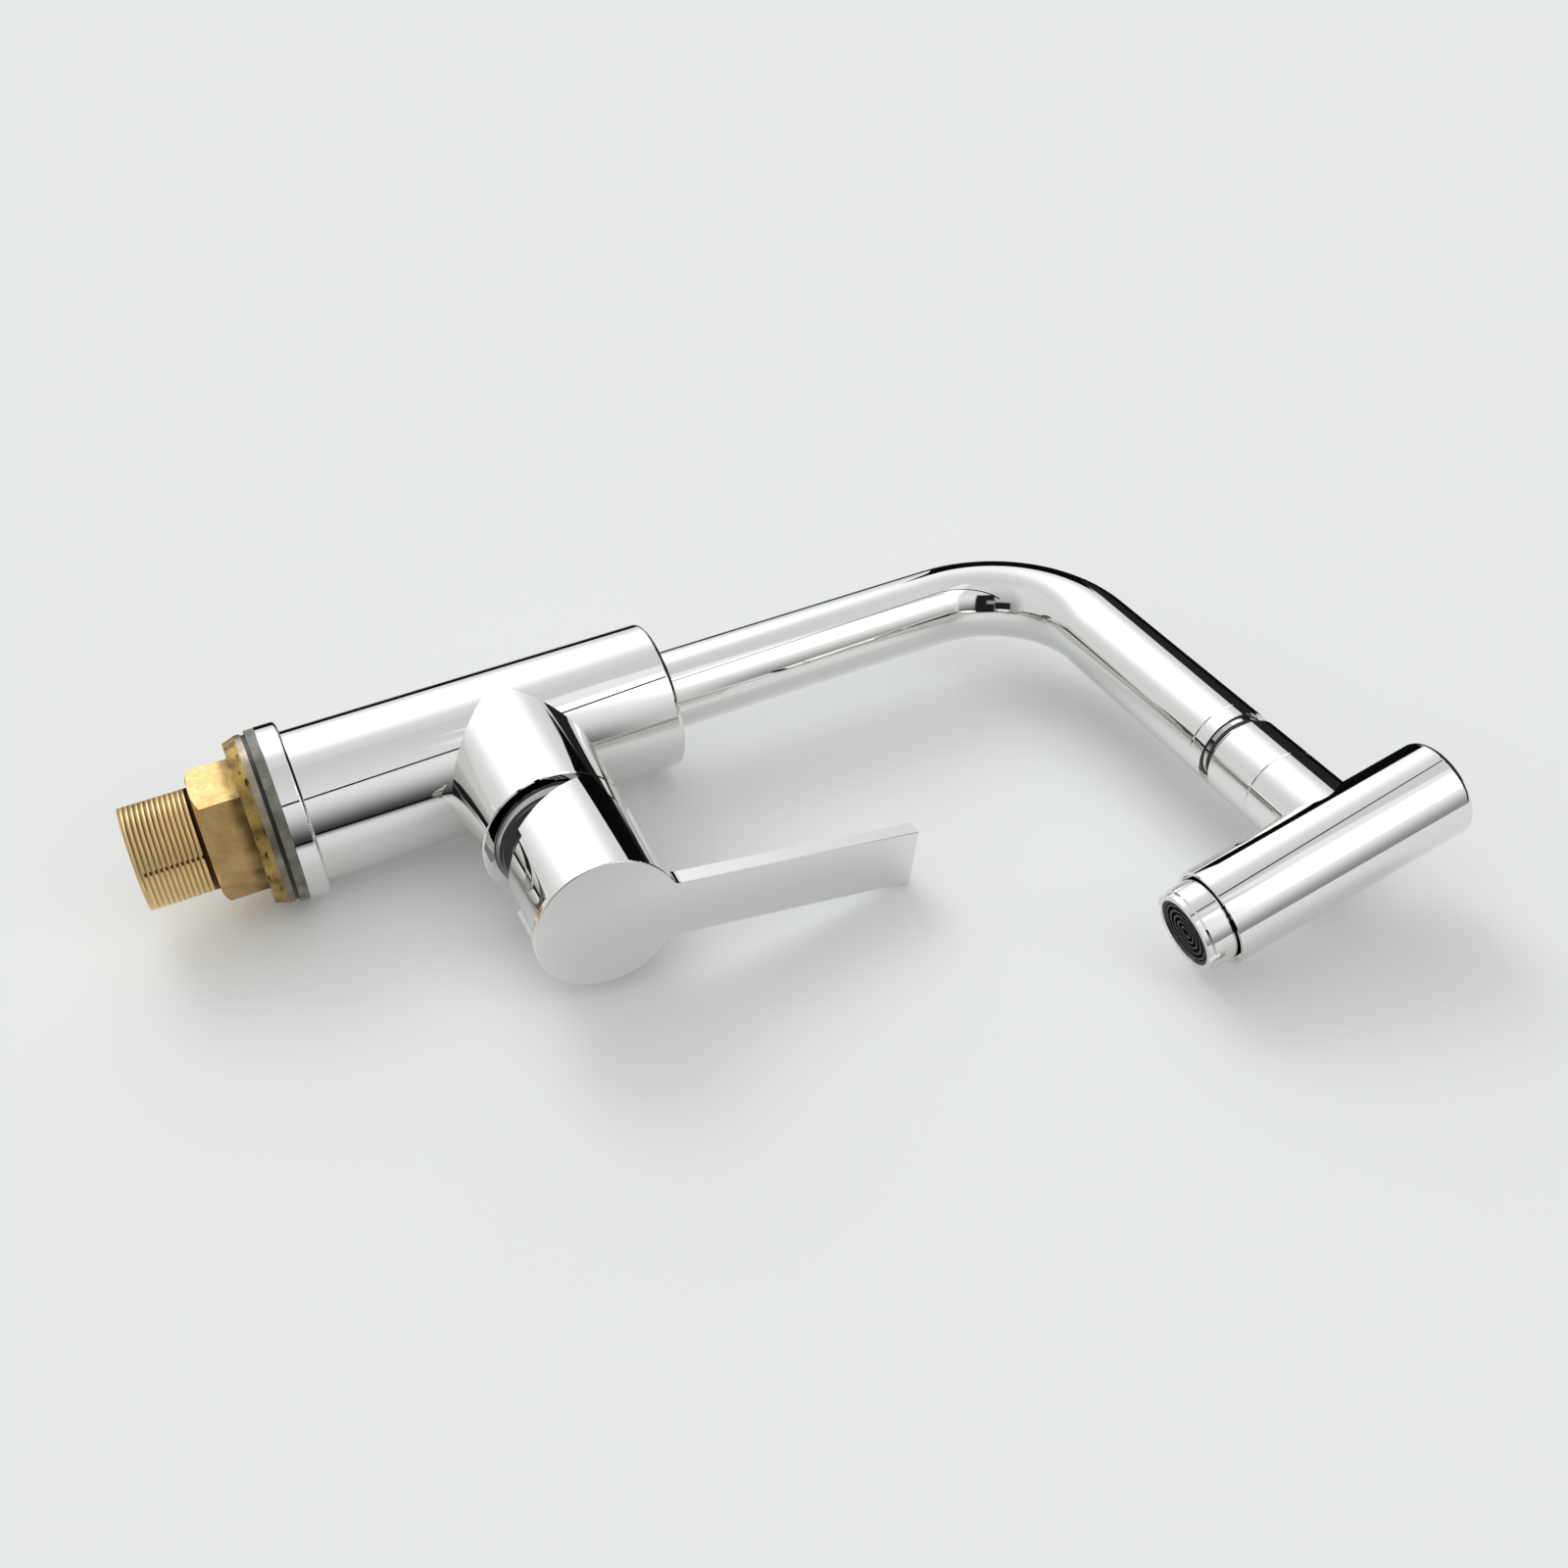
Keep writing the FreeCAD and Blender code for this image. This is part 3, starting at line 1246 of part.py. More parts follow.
def check_document():
    """Stop if a feature failed, a cut removed nothing, or a piece isn't sound."""
    doc.recompute()
    for item in doc.Objects:
        if "Invalid" in item.State or "Error" in item.State:
            raise RuntimeError(f"{item.Name} failed: {item.State}")
        if item.isDerivedFrom("PartDesign::Pocket") or item.isDerivedFrom("PartDesign::Groove"):
            if item.Shape.Volume > item.BaseFeature.Shape.Volume - 1e-3:
                raise RuntimeError(f"{item.Name} removed nothing")
    for piece in pieces:
        shape = piece.Shape
        if shape.isNull() or not shape.isValid() or not shape.Solids:
            raise RuntimeError(f"{piece.Label} is not a sound solid")


def write_pieces():
    """Write each piece to its own file."""
    os.makedirs("parts", exist_ok=True)
    for piece in pieces:
        piece.Shape.exportStep(f"parts/{piece.Label}.step")
        print(piece.Label, len(piece.Shape.Solids), round(piece.Shape.Volume))


fill_sheet()
worktop_joint()
threaded_shank()
tap_body()
cartridge_fixed_pieces()
cartridge_moving_pieces()
ring_nut_and_dome()
lever_handle()
spout_tube()
spout_foot()
arm_end()
head_body()
aerator()
check_document()
write_pieces()
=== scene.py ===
"""Looks of the kitchen mixer tap: chrome body, spout, lever and outlet head, brass shank and nut.

Metres, in the tap's own frame: +Z up the body, +X out along the arm and the branch. The tap lies
on its +Y side on a pale table, so on the table "up" is -Y.
"""

import bpy
import math
from mathutils import Matrix, Vector


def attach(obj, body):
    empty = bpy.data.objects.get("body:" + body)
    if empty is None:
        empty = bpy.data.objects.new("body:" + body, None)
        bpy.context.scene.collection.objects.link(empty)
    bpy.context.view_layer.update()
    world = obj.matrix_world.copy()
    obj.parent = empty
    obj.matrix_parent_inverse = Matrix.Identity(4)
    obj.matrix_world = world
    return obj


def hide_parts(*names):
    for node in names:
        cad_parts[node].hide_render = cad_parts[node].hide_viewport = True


MM = 0.001

# Camera, fitted to the photograph: where it stands, what it looks along and which way its top points
CAMERA_PLACE = Vector((421.8, -313.9, -8.8)) * MM
CAMERA_FORWARD = Vector((-0.7174, 0.6271, 0.3035))
CAMERA_UP = Vector((-0.5483, -0.7770, 0.3093))
SENSOR_WIDTH = 36.0
FOCAL_LENGTH = 37.87
CLIP_NEAR = 10 * MM
CLIP_FAR = 20

# The table, and where its edges are as seen from the camera
TABLE_HEIGHT = 27.6 * MM
TABLE_UP = Vector((0, -1, 0))
TABLE_NEAR = 120 * MM
TABLE_FAR = 2600 * MM
TABLE_HALF_WIDTH = 2200 * MM
TABLE_GLOW = 0.09

# The shank's thread, in millimetres along the body's axis and out from it
THREAD = {"Low": -41.0, "Length": 59.0, "Radius": 16.5, "Bore": 14.0, "Depth": 0.55, "Crest": 0.6,
          "Pitch": 1.5, "Turns": 27.0, "Mark Depth": 0.4}
THREAD_MARK_ANGLE = math.radians(-17.5)
THREAD_SEGMENTS = 192

# The share of the thread that runs out at each end, and the ridge's height over its groove's, in millimetres
RUN_OUT_SHARE = 0.03
RIDGE_OVERLAP = 0.05

# Light in the room by direction, in degrees: a bearing of 0 is up the body's axis and 90 is towards +X,
# and a rise of 90 is straight up
SOFTBOX_BEARING = -92
SOFTBOX_RISE = 38
SOFTBOX_EDGE = 50
SOFTBOX_BLUR = 3
ROOM_LIGHT = {"From Min": 35, "From Max": 88, "To Min": 0.87, "To Max": 0.70}
ROOM_SEEN = 0.85
ROOM_TINT = (0.99, 1.0, 0.997)
DARK_OPENING = 0.015
DARK_GAP = 0.02
DARK_FLOOR = 0.04
GAP_EDGE_BLUR = 1.5
GAP_SIDE_BLUR = 0.8

# The softbox's light at so many degrees from its middle, and the light that its curve takes as 1
SOFTBOX_LIGHT = ((0, 4.2), (14, 4.0), (17, 1.45), (24, 1.22), (28, 1.05), (32, 0.90), (36, 0.82),
                 (50, 0.72))
BRIGHTEST = 5.0

# Dark cards flat on the table, in millimetres along X and Z: from, to and blurred edge
CARD_COLOUR = "#101010"
FRONT_CARD_X = {"low": 230, "high": 2000, "blur": 100}
FRONT_CARD_Z = {"low": -2000, "high": 180, "blur": 50}
ARM_CARD_X = {"low": -3000, "high": 125, "blur": 10}
ARM_CARD_Z = {"low": 302, "high": 3000, "blur": 10}
REAR_CARD_X = {"low": -3000, "high": -35, "blur": 20}
REAR_CARD_SHADE = {"From Min": -95, "From Max": -180, "To Min": 0.55, "To Max": 1.0}

# Corners of the cards that stand or hang, in millimetres
TABLE_TOP = TABLE_HEIGHT / MM
SIDE_CARD = ((-360, TABLE_TOP, 400), (-360, TABLE_TOP, 620), (-360, TABLE_TOP - 272, 620),
             (-360, TABLE_TOP - 250, 400))
ROOF_SEAM = ((440, -360, -114), (461, -360, -93), (2, -360, 562), (-1, -360, 559))

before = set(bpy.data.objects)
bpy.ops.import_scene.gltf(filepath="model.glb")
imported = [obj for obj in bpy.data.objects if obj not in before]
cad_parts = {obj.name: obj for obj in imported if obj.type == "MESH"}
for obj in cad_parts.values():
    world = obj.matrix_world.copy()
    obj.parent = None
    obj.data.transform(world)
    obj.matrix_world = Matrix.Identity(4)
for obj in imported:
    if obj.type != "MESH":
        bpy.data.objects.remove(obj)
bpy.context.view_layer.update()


def colour(code):
    """A colour from its sRGB hex value, turned to linear."""
    parts = [int(code[i:i + 2], 16) / 255 for i in (1, 3, 5)]
    return [part / 12.92 if part <= 0.04045 else ((part + 0.055) / 1.055) ** 2.4 for part in parts] + [1.0]


def add(tree, kind, inputs=None, **settings):
    """Adds one node with its settings, and with a value or another node's output in each named input."""
    made = tree.nodes.new(kind)
    for name, value in settings.items():
        setattr(made, name, value)
    for name, value in (inputs or {}).items():
        if isinstance(value, bpy.types.NodeSocket):
            tree.links.new(value, made.inputs[name])
        else:
            made.inputs[name].default_value = value
    return made


def start_material(name):
    """An empty node material; gives back the material and its tree."""
    material = bpy.data.materials.new(name)
    material.use_nodes = True
    material.node_tree.nodes.clear()
    return material, material.node_tree


def spot_in_mm(tree):
    """A point's place on the tap, in millimetres."""
    spot = add(tree, "ShaderNodeTexCoord").outputs["Object"]
    per_metre = (1000, 1000, 1000)
    return add(tree, "ShaderNodeVectorMath", {0: spot, 1: per_metre}, operation="MULTIPLY").outputs[0]


def axis_in_mm(tree, spot):
    """A point's distance from the body's axis and its height."""
    flat = add(tree, "ShaderNodeVectorMath", {0: spot, 1: (1, 1, 0)}, operation="MULTIPLY").outputs[0]
    away = add(tree, "ShaderNodeVectorMath", {0: flat}, operation="LENGTH").outputs["Value"]
    return away, add(tree, "ShaderNodeSeparateXYZ", {0: spot}).outputs["Z"]


def band(tree, value, low, high, blur):
    """1 while a value lies between two others, fading to 0 over the blur outside them."""
    climb = {"Value": value, "From Min": low - blur, "From Max": low}
    fall = {"Value": value, "From Min": high + blur, "From Max": high}
    up = add(tree, "ShaderNodeMapRange", climb).outputs[0]
    down = add(tree, "ShaderNodeMapRange", fall).outputs[0]
    return add(tree, "ShaderNodeMath", {0: up, 1: down}, operation="MULTIPLY").outputs[0]


def patches(tree, spot, span, start, end, detail=4.0):
    """Cloudy patches about so many millimetres across: 0 below the start of the noise, 1 above its end."""
    noise = {"Vector": spot, "Scale": 1 / span, "Detail": detail}
    cloud = add(tree, "ShaderNodeTexNoise", noise).outputs["Fac"]
    return add(tree, "ShaderNodeMapRange", {"Value": cloud, "From Min": start, "From Max": end}).outputs[0]


def finish_material(material, tree, surface, rough, tint=None, relief=None, depth=0.0):
    """Closes a material: its surface's fixed values, then roughness, tint and relief in millimetres."""
    inputs = dict(surface)
    inputs["Roughness"] = rough
    if tint is not None:
        inputs["Base Color"] = tint
    if relief is not None:
        bump = add(tree, "ShaderNodeBump", {"Height": relief, "Strength": 1.0, "Distance": depth * MM})
        inputs["Normal"] = bump.outputs[0]
    shader = add(tree, "ShaderNodeBsdfPrincipled", inputs)
    add(tree, "ShaderNodeOutputMaterial", {"Surface": shader.outputs[0]})
    return material


def polished_chrome():
    """Bright chrome plate on buffed brass: a cold mirror with a faint haze and a trace of waviness."""
    material, tree = start_material("polished_chrome")
    spot = spot_in_mm(tree)
    haze = patches(tree, spot, span=20, start=0.35, end=0.7)
    rough = add(tree, "ShaderNodeMapRange", {"Value": haze, "To Min": 0.012, "To Max": 0.035}).outputs[0]
    waves = patches(tree, spot, span=26, start=0.0, end=1.0, detail=0.0)
    surface = {"Base Color": colour("#EAEAE8"), "Metallic": 1.0}
    return finish_material(material, tree, surface, rough, relief=waves, depth=0.004)


def ringed_chrome():
    """Chrome plate left as turned, deep in the gap behind the lever's cap: painted dark as shade of the gap,
    with thin bright rings.
    """
    material, tree = start_material("ringed_chrome")
    spot = spot_in_mm(tree)
    along = add(tree, "ShaderNodeVectorMath", {0: spot, 1: (1.1, 0.02, 0.02)}, operation="MULTIPLY")
    rings = patches(tree, along.outputs[0], span=1, start=0.5, end=0.62, detail=2.0)
    # painted shade: the dark grey stands in for the gap's shade; the turned rings keep a bright chrome tint
    tint = add(tree, "ShaderNodeMix", {"Factor": rings, "A": colour("#3A3B3C"), "B": colour("#C2C3C2")},
               data_type="RGBA").outputs["Result"]
    rough = add(tree, "ShaderNodeMapRange", {"Value": rings, "To Min": 0.12, "To Max": 0.04}).outputs[0]
    return finish_material(material, tree, {"Metallic": 1.0}, rough, tint, relief=rings, depth=0.02)


def straight_mark(tree, spot, height):
    """1 in the dots of the straight mark along the thread, one on each turn outside the nut."""
    mark = Vector((math.cos(THREAD_MARK_ANGLE), math.sin(THREAD_MARK_ANGLE), 0))
    beside = add(tree, "ShaderNodeVectorMath", {0: spot, 1: (-mark.y, mark.x, 0)}, operation="DOT_PRODUCT")
    ahead = add(tree, "ShaderNodeVectorMath", {0: spot, 1: tuple(mark)}, operation="DOT_PRODUCT")
    nick = band(tree, beside.outputs["Value"], low=-0.5, high=0.5, blur=0.2)
    outside = band(tree, ahead.outputs["Value"], low=15, high=17, blur=0.1)
    below = band(tree, height, low=-39.5, high=-20.0, blur=0.1)
    turns = 2 * math.pi / THREAD["Pitch"]
    beat = add(tree, "ShaderNodeMath", {0: height, 1: turns}, operation="MULTIPLY").outputs[0]
    beat = add(tree, "ShaderNodeMath", {0: beat}, operation="SINE").outputs[0]
    dots = add(tree, "ShaderNodeMapRange", {"Value": beat, "From Min": -0.1, "From Max": 0.5}).outputs[0]
    for limit in (dots, outside, below):
        nick = add(tree, "ShaderNodeMath", {0: nick, 1: limit}, operation="MULTIPLY").outputs[0]
    return nick


def turned_brass():
    """Brass cut on a lathe: pale gold, with fine marks round its axis.

    It has painted shade in the thread's roots, a deeper gold there, and painted dark brown shade at
    the nut's mouth, and the straight mark's dots are dark.
    """
    material, tree = start_material("turned_brass")
    spot = spot_in_mm(tree)
    away, height = axis_in_mm(tree, spot)
    cloud = patches(tree, spot, span=9, start=0.35, end=0.7)
    tint = add(tree, "ShaderNodeMix", {"Factor": cloud, "A": colour("#FFE9BC"), "B": colour("#FADB9F")},
               data_type="RGBA").outputs["Result"]
    # painted shade: a deeper gold in the thread's roots
    root = band(tree, away, low=15.4, high=15.97, blur=0.08)
    # painted shade: dark brown round the thread where it goes into the nut
    mouth = band(tree, height, low=-21.6, high=-20.0, blur=0.4)
    mark = straight_mark(tree, spot, height)
    for share, code in ((root, "#F5D499"), (mouth, "#3B2A14"), (mark, "#4F3A1B")):
        tint = add(tree, "ShaderNodeMix", {"Factor": share, "A": tint, "B": colour(code)},
                   data_type="RGBA").outputs["Result"]
    around = add(tree, "ShaderNodeVectorMath", {0: spot, 1: (0.1, 0.1, 6.0)}, operation="MULTIPLY").outputs[0]
    marks = patches(tree, around, span=1, start=0.3, end=0.7, detail=3.0)
    rough = add(tree, "ShaderNodeMapRange", {"Value": cloud, "To Min": 0.36, "To Max": 0.46}).outputs[0]
    return finish_material(material, tree, {"Metallic": 1.0}, rough, tint, relief=marks, depth=0.006)


def chipped_skin(tree, spot):
    """The tint of the forging's rough skin: dull brass with patches of gold, and dark chips."""
    gold = patches(tree, spot, span=6, start=0.35, end=0.6)
    skin = add(tree, "ShaderNodeMix", {"Factor": gold, "A": colour("#7E6B42"), "B": colour("#BB9D5C")},
               data_type="RGBA").outputs["Result"]
    along = add(tree, "ShaderNodeVectorMath", {0: spot, 1: (0.6, 0.6, 2.2)}, operation="MULTIPLY").outputs[0]
    chips = patches(tree, along, span=2.6, start=0.62, end=0.68, detail=2.0)
    return add(tree, "ShaderNodeMix", {"Factor": chips, "A": skin, "B": colour("#4A3B20")},
               data_type="RGBA").outputs["Result"]


def forged_brass():
    """Hot-forged brass, faced on the flats only: cloudy satin, with painted olive shade in its crease, its
    rim left rough.
    """
    material, tree = start_material("forged_brass")
    spot = spot_in_mm(tree)
    away, height = axis_in_mm(tree, spot)
    cloud = patches(tree, spot, span=7, start=0.3, end=0.75)
    tint = add(tree, "ShaderNodeMix", {"Factor": cloud, "A": colour("#D8B983"), "B": colour("#BF985E")},
               data_type="RGBA").outputs["Result"]
    blur = patches(tree, spot, span=8, start=0.1, end=0.7, detail=1.0)
    # painted shade: olive-dark in the crease between the hex and the flange, broken up by soft patches
    corner = band(tree, height, low=-9.0, high=-7.0, blur=2.4)
    crease = add(tree, "ShaderNodeMath", {0: blur, 1: corner}, operation="MULTIPLY").outputs[0]
    tint = add(tree, "ShaderNodeMix", {"Factor": crease, "A": tint, "B": colour("#6F5D31")},
               data_type="RGBA").outputs["Result"]
    rim = band(tree, away, low=24.6, high=30, blur=0.6)
    tint = add(tree, "ShaderNodeMix", {"Factor": rim, "A": tint, "B": chipped_skin(tree, spot)},
               data_type="RGBA").outputs["Result"]
    grain = patches(tree, spot, span=1.6, start=0.25, end=0.75)
    rough = add(tree, "ShaderNodeMapRange", {"Value": grain, "To Min": 0.42, "To Max": 0.55}).outputs[0]
    return finish_material(material, tree, {"Metallic": 1.0}, rough, tint, relief=grain, depth=0.05)


def zinc_plated_steel():
    """Pressed steel plate with clear zinc: a warm grey satin, with faint scratches from the press."""
    material, tree = start_material("zinc_plated_steel")
    spot = spot_in_mm(tree)
    cloud = patches(tree, spot, span=5, start=0.3, end=0.7)
    tint = add(tree, "ShaderNodeMix", {"Factor": cloud, "A": colour("#A39B8F"), "B": colour("#80776B")},
               data_type="RGBA").outputs["Result"]
    around = add(tree, "ShaderNodeVectorMath", {0: spot, 1: (0.15, 0.15, 5.0)}, operation="MULTIPLY")
    scratches = patches(tree, around.outputs[0], span=1, start=0.4, end=0.6, detail=2.0)
    rough = add(tree, "ShaderNodeMapRange", {"Value": cloud, "To Min": 0.25, "To Max": 0.4}).outputs[0]
    return finish_material(material, tree, {"Metallic": 1.0}, rough, tint, relief=scratches, depth=0.01)


def hardened_steel():
    """Heat-treated steel with an oiled black oxide: dark grey, slightly blotchy, with a soft shine."""
    material, tree = start_material("hardened_steel")
    spot = spot_in_mm(tree)
    cloud = patches(tree, spot, span=2, start=0.3, end=0.7)
    tint = add(tree, "ShaderNodeMix", {"Factor": cloud, "A": colour("#77787A"), "B": colour("#56575A")},
               data_type="RGBA").outputs["Result"]
    rough = add(tree, "ShaderNodeMapRange", {"Value": cloud, "To Min": 0.25, "To Max": 0.38}).outputs[0]
    return finish_material(material, tree, {"Metallic": 1.0}, rough, tint, relief=cloud, depth=0.01)


def zinc_alloy():
    """Die-cast zinc: a flat light grey with the soft mottling of metal that froze against the mould."""
    material, tree = start_material("zinc_alloy")
    spot = spot_in_mm(tree)
    cloud = patches(tree, spot, span=3, start=0.3, end=0.7)
    tint = add(tree, "ShaderNodeMix", {"Factor": cloud, "A": colour("#C4C6C8"), "B": colour("#A6A8AB")},
               data_type="RGBA").outputs["Result"]
    rough = add(tree, "ShaderNodeMapRange", {"Value": cloud, "To Min": 0.34, "To Max": 0.48}).outputs[0]
    return finish_material(material, tree, {"Metallic": 1.0}, rough, tint, relief=cloud, depth=0.02)


def stainless_mesh():
    """Etched stainless sheet: fine brush lines across it."""
    material, tree = start_material("stainless_mesh")
    spot = spot_in_mm(tree)
    along = add(tree, "ShaderNodeVectorMath", {0: spot, 1: (0.2, 5.0, 5.0)}, operation="MULTIPLY").outputs[0]
    lines = patches(tree, along, span=1, start=0.3, end=0.7, detail=2.0)
    tint = add(tree, "ShaderNodeMix", {"Factor": lines, "A": colour("#C9CACB"), "B": colour("#A9AAAC")},
               data_type="RGBA").outputs["Result"]
    rough = add(tree, "ShaderNodeMapRange", {"Value": lines, "To Min": 0.22, "To Max": 0.34}).outputs[0]
    return finish_material(material, tree, {"Metallic": 1.0}, rough, tint, relief=lines, depth=0.008)


def moulded_gasket_rubber():
    """Moulded grey-olive rubber: satin, with a greasy bloom that lightens it in patches."""
    material, tree = start_material("moulded_gasket_rubber")
    spot = spot_in_mm(tree)
    bloom = patches(tree, spot, span=6, start=0.35, end=0.7)
    tint = add(tree, "ShaderNodeMix", {"Factor": bloom, "A": colour("#5F5E51"), "B": colour("#98968A")},
               data_type="RGBA").outputs["Result"]
    specks = patches(tree, spot, span=0.8, start=0.3, end=0.7, detail=2.0)
    rough = add(tree, "ShaderNodeMapRange", {"Value": specks, "To Min": 0.38, "To Max": 0.55}).outputs[0]
    return finish_material(material, tree, {}, rough, tint, relief=specks, depth=0.03)


def nitrile_rubber():
    """Black nitrile rubber from a polished mould: nearly black, with a soft sheen and a little dust."""
    material, tree = start_material("nitrile_rubber")
    spot = spot_in_mm(tree)
    dust = patches(tree, spot, span=1.5, start=0.5, end=0.8)
    tint = add(tree, "ShaderNodeMix", {"Factor": dust, "A": colour("#171717"), "B": colour("#2B2B29")},
               data_type="RGBA").outputs["Result"]
    rough = add(tree, "ShaderNodeMapRange", {"Value": dust, "To Min": 0.42, "To Max": 0.6}).outputs[0]
    return finish_material(material, tree, {}, rough, tint, relief=dust, depth=0.02)


def moulded_acetal():
    """Natural acetal: milky white and slightly waxy, because a little light sinks in before it comes back."""
    material, tree = start_material("moulded_acetal")
    spot = spot_in_mm(tree)
    flow = patches(tree, spot, span=6, start=0.3, end=0.7)
    tint = add(tree, "ShaderNodeMix", {"Factor": flow, "A": colour("#EDEBE2"), "B": colour("#E1DED2")},
               data_type="RGBA").outputs["Result"]
    rough = add(tree, "ShaderNodeMapRange", {"Value": flow, "To Min": 0.3, "To Max": 0.4}).outputs[0]
    surface = {"Subsurface Weight": 0.1, "Subsurface Scale": 0.5 * MM, "IOR": 1.48}
    return finish_material(material, tree, surface, rough, tint, relief=flow, depth=0.01)


def greased_ptfe():
    """A thin washer of carbon-filled PTFE: dark grey, darkened further as painted shadow in the swivel's gap,
    matt and waxy, with silicone grease smeared on it.
    """
    material, tree = start_material("greased_ptfe")
    spot = spot_in_mm(tree)
    smear = patches(tree, spot, span=2.5, start=0.4, end=0.65)
    # dark grey of carbon-filled PTFE, made darker as painted shadow in the gap round the swivel
    tint = add(tree, "ShaderNodeMix", {"Factor": smear, "A": colour("#3F403E"), "B": colour("#2B2C2B")},
               data_type="RGBA").outputs["Result"]
    rough = add(tree, "ShaderNodeMapRange", {"Value": smear, "To Min": 0.45, "To Max": 0.22}).outputs[0]
    return finish_material(material, tree, {"IOR": 1.38}, rough, tint, relief=smear, depth=0.01)


def glass_filled_nylon():
    """Grey nylon with glass fibre: the fibres give it a fine speckle and take most of its gloss."""
    material, tree = start_material("glass_filled_nylon")
    spot = spot_in_mm(tree)
    fibres = patches(tree, spot, span=0.5, start=0.35, end=0.65, detail=2.0)
    tint = add(tree, "ShaderNodeMix", {"Factor": fibres, "A": colour("#B4B6B8"), "B": colour("#9C9EA1")},
               data_type="RGBA").outputs["Result"]
    rough = add(tree, "ShaderNodeMapRange", {"Value": fibres, "To Min": 0.42, "To Max": 0.55}).outputs[0]
    return finish_material(material, tree, {"IOR": 1.53}, rough, tint, relief=fibres, depth=0.015)


def black_abs():
    """Moulded black ABS: near black with a light spark-eroded texture that breaks up its shine."""
    material, tree = start_material("black_abs")
    spot = spot_in_mm(tree)
    texture = patches(tree, spot, span=0.6, start=0.35, end=0.65, detail=2.0)
    tint = add(tree, "ShaderNodeMix", {"Factor": texture, "A": colour("#0E0E0F"), "B": colour("#19191A")},
               data_type="RGBA").outputs["Result"]
    rough = add(tree, "ShaderNodeMapRange", {"Value": texture, "To Min": 0.38, "To Max": 0.52}).outputs[0]
    return finish_material(material, tree, {"IOR": 1.5}, rough, tint, relief=texture, depth=0.015)


def lapped_alumina():
    """Lapped alumina ceramic: ivory white and very flat, with a glassy shine and faint grey specks."""
    material, tree = start_material("lapped_alumina")
    spot = spot_in_mm(tree)
    specks = patches(tree, spot, span=1.0, start=0.55, end=0.7, detail=2.0)
    tint = add(tree, "ShaderNodeMix", {"Factor": specks, "A": colour("#ECE8DC"), "B": colour("#D4CFC2")},
               data_type="RGBA").outputs["Result"]
    rough = add(tree, "ShaderNodeMapRange", {"Value": specks, "To Min": 0.1, "To Max": 0.18}).outputs[0]
    return finish_material(material, tree, {"IOR": 1.76}, rough, tint, relief=specks, depth=0.002)


def dress(material, *nodes):
    """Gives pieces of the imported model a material."""
    for name in nodes:
        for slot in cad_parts[name].material_slots:
            slot.material = material


def dress_all(brass):
    """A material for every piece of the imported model."""
    dress(polished_chrome(), "base_flange", "tap_body", "lever_handle", "spout_tube", "spout_end_collar",
          "swivel_sleeve", "head_body", "aerator_ring")
    dress(ringed_chrome(), "dome_cap")
    dress(brass, "threaded_shank", "cartridge_nut", "spout_stem", "swivel_spigot")
    dress(forged_brass(), "lock_nut")
    dress(zinc_plated_steel(), "clamp_washer")
    dress(hardened_steel(), "spindle_pin", "lever_grub_screw", "spout_retaining_screw")
    dress(stainless_mesh(), "aerator_screen")
    dress(zinc_alloy(), "cartridge_spindle")
    dress(moulded_gasket_rubber(), "base_gasket")
    dress(nitrile_rubber(), "under_deck_seal", "cartridge_seals", "spout_o_rings", "swivel_o_ring",
          "aerator_washer")
    dress(moulded_acetal(), "upper_swivel_bush", "lower_swivel_bush", "disc_carrier", "spindle_turret")
    dress(greased_ptfe(), "swivel_washer")
    dress(glass_filled_nylon(), "cartridge_base", "cartridge_housing")
    dress(lapped_alumina(), "fixed_disc", "moving_disc")
    dress(black_abs(), "aerator_insert")


def thread_tree():
    """A hollow rod, and a ridge wound round it as a helix that runs out at both ends."""
    tree = bpy.data.node_groups.new("cut_thread", "GeometryNodeTree")
    for name in THREAD:
        tree.interface.new_socket(name, in_out="INPUT", socket_type="NodeSocketFloat")
    tree.interface.new_socket("Brass", in_out="INPUT", socket_type="NodeSocketMaterial")
    tree.interface.new_socket("Geometry", in_out="OUTPUT", socket_type="NodeSocketGeometry")
    given = add(tree, "NodeGroupInput").outputs
    both = add(tree, "GeometryNodeJoinGeometry")
    tree.links.new(hollow_rod(tree, given), both.inputs[0])
    tree.links.new(wound_ridge(tree, given), both.inputs[0])
    placed = add(tree, "GeometryNodeRealizeInstances", {0: both.outputs[0]})
    brassed = {"Geometry": placed.outputs[0], "Material": given["Brass"]}
    dressed = add(tree, "GeometryNodeSetMaterial", brassed)
    add(tree, "NodeGroupOutput", {0: dressed.outputs[0]})
    return tree


def root_radius(tree, given):
    """The radius of the rod at the thread's root."""
    return add(tree, "ShaderNodeMath", {0: given["Radius"], 1: given["Depth"]},
               operation="SUBTRACT").outputs[0]


